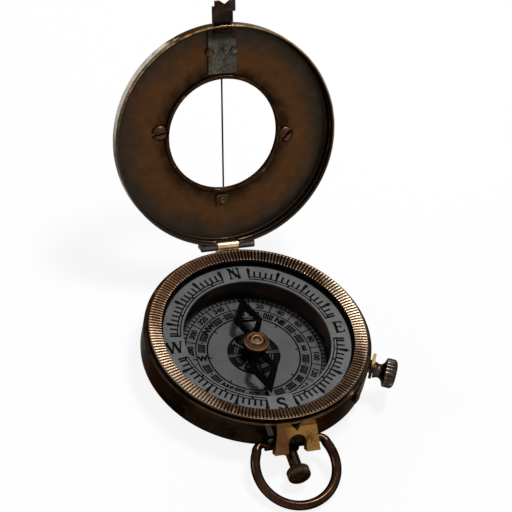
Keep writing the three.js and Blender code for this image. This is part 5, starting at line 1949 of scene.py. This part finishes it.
@dataclass
class SideClamp(Assembly):
    """The knurled clamp knob, its shoe and the stop lug. Profiles are measured out from the case's axis."""

    angle: float = -27.0
    z: float = 9.0
    bore: float = 1.2
    knob_socket: tuple[Pair, ...] = ((0.0, 37.8), (1.2, 37.8))
    knob_neck: Profile = (
        (1.2, 32.45, 0.0), (2.2, 32.45, 0.12), (2.2, 32.9, 0.15), (1.9, 33.45, 0.4), (1.9, 34.3, 0.5),
        (2.5, 34.9, 0.3), (3.4, 35.3, 0.0))
    knob_side: tuple[Pair, ...] = ((3.7, 35.38), (4.0, 35.7), (4.0, 36.7), (4.0, 37.55), (3.85, 37.95))
    knob_crown: tuple[Pair, ...] = ((3.5, 38.25), (3.0, 38.5), (2.2, 38.66), (1.0, 38.7), (0.0, 38.7))
    knurls: int = 20
    knurl_depth: float = 0.22
    foot_y: Pair = (-1.8, 1.8)
    foot_z: Pair = (10.15, 11.15)
    shoe_round: float = 0.15
    lug_round: float = 0.25

    def turned(self) -> Matrix:
        """The turn about Z from +X to the clamp."""
        return Matrix.Rotation(math.radians(self.angle), 4, "Z")

    def matrix(self) -> Matrix:
        """From the knob's own frame, along +Z, to its place, in millimetres."""
        return self.turned() @ Matrix.Translation((0.0, 0.0, self.z)) @ Matrix.Rotation(QUARTER, 4, "Y")

    def wall_cuts(self, span: Pair) -> list[Form]:
        """Cutters through the case wall for the spindle and the shoe's foot.

        Args:
            span: Radii between which they cut.

        Returns:
            The cutters.
        """
        hole = Form().rod(self.bore, *span)
        foot = Form().box(span, self.foot_y, self.foot_z)
        return [hole.placed(self.matrix()), foot.placed(self.turned())]

    def build(self) -> None:
        """Makes the knob, the shoe and the lug."""
        lead = [*self.knob_socket, *rounded(self.knob_neck, closed=False)]
        knob = knurled(lead, self.knob_side, self.knob_crown, self.knurls, self.knurl_depth)
        self.shop.piece("knurled_knob", knob.placed(self.matrix()), "clamp_knob", Slot.COPPER, Finish.KNOB)
        self.shop.keep("clamp_screw", Finish.STEEL)
        self.shop.eased("bezel_shoe", "clamp_shoe", Slot.BRASS, Finish.SHOE, self.shoe_round)
        self.shop.eased("wall_lug", "stop_lug", Slot.CASE, Finish.CASE, self.lug_round)


@dataclass
class Lid(Assembly):
    """The open lid with its window, hairline, catch and hinge leaf.

    Its forms are made as if it were shut, from the plane of its rim up.
    """

    hinge_y: float = 31.45
    hinge_z: float = 13.4
    rim_z: float = 12.05
    open_angle: float = 120.0
    shell: Profile = (
        (30.4, 0.0, 0.1), (31.15, 0.0, 0.16), (31.15, 4.6, 0.75), (15.4, 4.6, 0.15), (15.4, 3.9, 0.1),
        (30.2, 3.9, 0.4), (30.2, 1.6, 0.05), (30.4, 1.4, 0.05))
    shell_steps: int = 5
    lip: Profile = ((15.5, 0.0, 0.05), (16.6, 0.0, 0.05), (16.6, 0.8, 0.45), (15.5, 0.8, 0.45))
    lip_steps: int = 6
    inside: float = 3.9
    seat: float = 0.15
    knuckle_room: float = 1.36
    notch_x: Pair = (-7.66, 7.66)
    leaf_x: Pair = (-3.2, 3.2)
    leaf_y: Pair = (15.575, 32.15)
    leaf_z: Pair = (-1.0, 2.71)
    hook_x: Pair = (-2.6, 2.6)
    hook_y: Pair = (-32.15, -29.2)
    hook_z: Pair = (1.9, 3.3)
    drill_span: Pair = (3.0, 6.0)
    screw_hole: float = 1.1
    rivet_hole: float = 0.5
    screw_circle: float = 18.1
    screw_turn: float = 6.0
    screw_room: float = 2.3
    screw_room_span: Pair = (-1.0, 2.0)
    screw_shank: tuple[Pair, ...] = ((0.0, -0.7), (1.0, -0.7), (1.0, 0.0))
    screw_dome: Profile = (
        (1.0, 0.0, 0.0), (2.2, 0.0, 0.1), (2.2, 0.45, 0.3), (1.584, 0.9, 0.5), (0.66, 1.0, 0.3),
        (0.0, 1.0, 0.0))
    screw_head: float = 2.2
    slot_width: float = 0.75
    slot_span: Pair = (0.05, 2.0)
    slot_turns: Pair = (8.0, 45.0)
    catch_spot: Pair = (3.5, -23.1)
    catch_thick: float = 0.55
    catch_rivet: Rivet = Rivet(1.2, 0.45, 0.4, 1.25)
    leaf_spot: Corner = (5.4, 32.35, 3.55)
    leaf_rivet: Rivet = Rivet(0.75, 0.45, 0.4, 1.95)
    anchor_spot: Pair = (-0.6, 19.0)
    anchor_thick: float = 0.5
    anchor_rivet: Rivet = Rivet(1.2, 0.45, 0.4, 1.2)
    hairline: float = 0.24
    hairline_z: float = 4.25
    hairline_reach: float = 15.25
    hairline_steps: int = 8
    hairline_sides: int = 12
    plate_round: float = 0.1
    hook_round: float = 0.2
    knuckle_round: float = 0.12

    def matrix(self) -> Matrix:
        """From the shut lid's rim plane to the open lid, in metres."""
        swing = Matrix.Rotation(-math.radians(self.open_angle), 4, "X")
        return (shifted(0.0, self.hinge_y, self.hinge_z) @ swing
                @ shifted(0.0, -self.hinge_y, self.rim_z - self.hinge_z))

    def hanging(self, spot: Pair, drop: float) -> Matrix:
        """Where a fitting on the plate's inside sits, its head pointing out of the lid, in metres."""
        flip = Matrix.Rotation(math.pi, 4, "X")
        return self.matrix() @ shifted(*spot, self.inside - drop) @ flip

    def screw_spot(self, side: int) -> Pair:
        """Centre of the left (-1) or right (1) screw."""
        angle = math.radians(self.screw_turn)
        return side * self.screw_circle * math.cos(angle), side * self.screw_circle * math.sin(angle)

    def rivet_spot(self, side: int) -> Pair:
        """Centre of the left (-1) or right (1) rivet of the catch plate."""
        return side * self.catch_spot[0], self.catch_spot[1]

    def drill(self, spot: Pair, radius: float) -> Form:
        """A drill through the plate."""
        bit = Form().rod(radius, *self.drill_span, DRILL_SIDES)
        return bit.placed(Matrix.Translation((*spot, 0.0)))

    def shell_cuts(self) -> list[Form]:
        """Cutters for the hinge, the hook, the screws and the rivets.

        Returns:
            The cutters.
        """
        axis = Matrix.Translation((0.0, self.hinge_y, self.hinge_z - self.rim_z))
        barrel = Form().rod(self.knuckle_room, *self.notch_x)
        cuts = [
            barrel.placed(axis @ Matrix.Rotation(QUARTER, 4, "Y")),
            Form().box(self.leaf_x, self.leaf_y, self.leaf_z),
            Form().box(self.hook_x, self.hook_y, self.hook_z),
        ]
        for side in (-1, 1):
            cuts.append(self.drill(self.screw_spot(side), self.screw_hole))
            cuts.append(self.drill(self.rivet_spot(side), self.rivet_hole))
        cuts.append(self.drill(self.anchor_spot, self.rivet_hole))
        return cuts

    def build_shell(self) -> None:
        """Makes the shell, the lip round the window and the hairline."""
        self.shop.piece(
            "lid_dish", lathe(self.shell, TURNED_SIDES, self.shell_steps), "lid_shell", Slot.LID, Finish.LID,
            self.matrix(), self.shell_cuts())
        rooms = []
        for side in (-1, 1):
            x, y = self.screw_spot(side)
            room = Form().rod(self.screw_room, *self.screw_room_span)
            rooms.append(room.placed(Matrix.Translation((x, -y, 0.0))))
        self.shop.piece(
            "window_lip", lathe(self.lip, TURNED_SIDES, self.lip_steps), "window_ring", Slot.COPPER,
            Finish.LIP, self.hanging((0.0, 0.0), self.seat), rooms)
        shares = [2 * i / self.hairline_steps - 1 for i in range(self.hairline_steps + 1)]
        line = [Vector((0.0, share * self.hairline_reach, self.hairline_z)) for share in shares]
        thread = Form().sweep(line, [self.hairline] * len(line), self.hairline_sides)
        self.shop.piece("sighting_thread", thread, "hairline", Slot.BLUED, Finish.BLUED, self.matrix())

    def build_screws(self) -> None:
        """Makes the two slotted screws beside the window."""
        dome = [*self.screw_shank, *rounded(self.screw_dome, closed=False)]
        for name, side, turn in zip(("left", "right"), (-1, 1), self.slot_turns):
            slot = slot_cutter(self.screw_head, self.slot_width, self.slot_span, turn)
            self.shop.piece(
                f"dome_screw_{name}", Form().turn(dome, SMALL_SIDES), f"lid_screw_{name}", Slot.COPPER,
                Finish.SCREW, self.hanging(self.screw_spot(side), self.seat), [slot])

    def build_rivets(self) -> None:
        """Makes the rivets of the catch plate, the hinge leaf and the anchor plate."""
        x, y, z = self.leaf_spot
        sides = (("left", -1, Slot.BRASS, Finish.SIGHT), ("right", 1, Slot.STEEL, Finish.STEEL))
        for name, side, slot, finish in sides:
            self.shop.piece(
                f"plate_rivet_{name}", self.catch_rivet.form(), f"catch_rivet_{name}", slot, finish,
                self.hanging(self.rivet_spot(side), 2 * self.seat + self.catch_thick))
            place = self.matrix() @ shifted(side * x, y, z) @ Matrix.Rotation(-QUARTER, 4, "X")
            self.shop.piece(
                f"hinge_rivet_{name}", self.leaf_rivet.form(), f"leaf_rivet_{name}", Slot.STEEL,
                Finish.STEEL, place)
        self.shop.piece(
            "thread_rivet", self.anchor_rivet.form(), "anchor_rivet", Slot.COPPER, Finish.SIGHT,
            self.hanging(self.anchor_spot, 2 * self.seat + self.anchor_thick))

    def build(self) -> None:
        """Makes the whole lid."""
        self.build_shell()
        self.build_screws()
        self.build_rivets()
        self.shop.eased("steel_catch", "catch_plate", Slot.STEEL, Finish.PLATE, self.plate_round)
        self.shop.eased("hook", "catch_hook", Slot.COPPER, Finish.HOOK, self.hook_round)
        self.shop.eased("thread_plate", "anchor_plate", Slot.STEEL, Finish.STUD, self.plate_round)
        self.shop.eased("lid_knuckles", "hinge_lid_leaf", Slot.STEEL, Finish.STEEL, self.knuckle_round)


@dataclass
class Hinge(Assembly):
    """The brass middle knuckle on the case and the pin through the hinge."""

    y: float = 31.45
    z: float = 13.4
    pin: Profile = ((0.0, -7.8, 0.0), (0.6, -7.8, 0.3), (0.6, 7.8, 0.3), (0.0, 7.8, 0.0))
    knuckle_round: float = 0.1

    def build(self) -> None:
        """Makes the knuckle and the pin."""
        self.shop.eased("middle_knuckle", "hinge_case_leaf", Slot.BRASS, Finish.BRASS, self.knuckle_round)
        place = shifted(0.0, self.y, self.z) @ Matrix.Rotation(QUARTER, 4, "Y")
        self.shop.piece("hinge_rod", lathe(self.pin), "hinge_pin", Slot.STEEL, Finish.STEEL, place)


@dataclass
class InnerWorks(Assembly):
    """Pieces under the dial that keep their CAD shapes."""

    finishes: dict[str, Finish] = field(default_factory=lambda: {
        "pivot_post": Finish.STUD,
        "pivot_pin": Finish.STEEL,
        "lifter_sleeve": Finish.STUD,
        "lifter_slide": Finish.STEEL,
        "return_spring": Finish.STEEL,
        "retaining_ring": Finish.BRASS,
    })

    def build(self) -> None:
        """Gives each piece its finish."""
        for node, finish in self.finishes.items():
            self.shop.keep(node, finish)


@dataclass(frozen=True)
class Lamp:
    """A soft rectangular lamp. Lengths in millimetres."""

    name: str
    spot: Corner
    aim: Corner
    width: float
    height: float
    watts: float

    def hang(self) -> None:
        """Puts the lamp in the scene, facing its aim."""
        data = bpy.data.lights.new(self.name, "AREA")
        data.shape = "RECTANGLE"
        data.size = self.width * MM
        data.size_y = self.height * MM
        data.energy = self.watts
        holder = linked(self.name, data)
        holder.location = Vector(self.spot) * MM
        holder.rotation_euler = (Vector(self.aim) - Vector(self.spot)).to_track_quat("-Z", "Y").to_euler()


@dataclass
class Studio:
    """Pale floor, soft lamps and the camera at the photograph's angle. Lengths in millimetres."""

    camera_spot: Corner = (-192.039, -391.327, 503.848)
    camera_aim: Corner = (4.1713, 20.7427, 20.0)
    camera_roll: float = 12.44
    lens: float = 171.476
    sensor: float = 36.0
    clip: Pair = (10.0, 20000.0)
    floor_side: Pair = (-3000.0, 3000.0)
    floor_heights: Pair = (-12.0, -0.02)
    floor_colour: Colour = (0.82, 0.82, 0.82)
    floor_dim: float = 0.97
    floor_scale: float = 0.02
    floor_rough: float = 0.8
    floor_bounce: Colour = (0.1, 0.1, 0.1)
    floor_glow: float = 0.88
    world_light: float = 0.16
    lamps: tuple[Lamp, ...] = (
        Lamp("key_above", (175.0, 120.0, 615.0), (0.0, 0.0, 15.0), 140.0, 140.0, 3.4),
        Lamp("front_fill", (240.0, -820.0, 190.0), (0.0, 20.0, 35.0), 520.0, 260.0, 0.4),
        Lamp("left_panel", (-600.0, 150.0, 250.0), (0.0, 20.0, 30.0), 200.0, 260.0, 1.6),
        Lamp("back_panel", (60.0, 900.0, 130.0), (0.0, 0.0, 20.0), 700.0, 200.0, 4.0),
    )

    def camera(self) -> None:
        """Sets up the camera."""
        spot, aim = Vector(self.camera_spot) * MM, Vector(self.camera_aim) * MM
        ahead = (aim - spot).normalized()
        level = ahead.cross(Vector((0.0, 0.0, 1.0))).normalized()
        above = level.cross(ahead)
        roll = math.radians(self.camera_roll)
        right = level * math.cos(roll) + above * math.sin(roll)
        up = above * math.cos(roll) - level * math.sin(roll)
        data = bpy.data.cameras.new("camera")
        data.lens = self.lens
        data.sensor_width = self.sensor
        data.clip_start, data.clip_end = (length * MM for length in self.clip)
        holder = linked("camera", data)
        holder.matrix_world = Matrix.Translation(spot) @ Matrix((right, up, -ahead)).transposed().to_4x4()
        bpy.context.scene.camera = holder

    def floor(self) -> None:
        """Lays the floor, which the camera sees paler than it lights."""
        mesh = Form().box(self.floor_side, self.floor_side, self.floor_heights).mesh("floor")
        material, graph = new_material("pale_floor")
        grain = graph.noise(graph.millimetres(), self.floor_scale)
        seen = graph.background_seen()
        pale = graph.mix(grain, self.floor_colour, dimmed(self.floor_colour, self.floor_dim))
        lit = graph.node("ShaderNodeBsdfPrincipled", None, {
            "Base Color": graph.mix(seen, self.floor_bounce, pale),
            "Roughness": self.floor_rough,
        })
        glow = graph.node("ShaderNodeEmission", None, {"Color": WHITE, "Strength": 1.0})
        graph.surface(graph.node("ShaderNodeMixShader", None, {0: seen * self.floor_glow, 1: lit, 2: glow}))
        mesh.materials.append(material)
        linked("floor", mesh)

    def world(self) -> None:
        """Soft light from all round, white where it shows."""
        made = bpy.data.worlds.new("soft_room")
        bpy.context.scene.world = made
        made.use_nodes = True
        graph = Graph(made.node_tree)
        soft, shown = (graph.node("ShaderNodeBackground", None, {"Color": WHITE, "Strength": strength})
                       for strength in (self.world_light, 1.0))
        sky = graph.node("ShaderNodeMixShader", None, {0: graph.background_seen(), 1: soft, 2: shown})
        graph.node("ShaderNodeOutputWorld", None, {"Surface": sky})

    def build(self) -> None:
        """Makes the camera, the floor and the light."""
        self.camera()
        self.floor()
        self.world()
        for lamp in self.lamps:
            lamp.hang()
        bpy.context.scene.view_settings.view_transform = "Standard"


def main() -> None:
    """Builds the compass in order."""
    logging.basicConfig(level=logging.INFO, format="%(name)s %(message)s")
    for made in list(bpy.data.objects):
        bpy.data.objects.remove(made)
    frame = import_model()
    shop = Workshop(frame)
    stud = PushStud(shop)
    clamp = SideClamp(shop)
    CaseShell(shop, stud, clamp).build()
    Bezel(shop).build()
    ChapterRing(shop).build()
    DialFace(shop).build()
    NeedleUnit(shop).build()
    stud.build()
    FrontFittings(shop).build()
    clamp.build()
    Hinge(shop).build()
    Lid(shop).build()
    InnerWorks(shop).build()
    Studio().build()


if __name__ == "__main__":
    main()
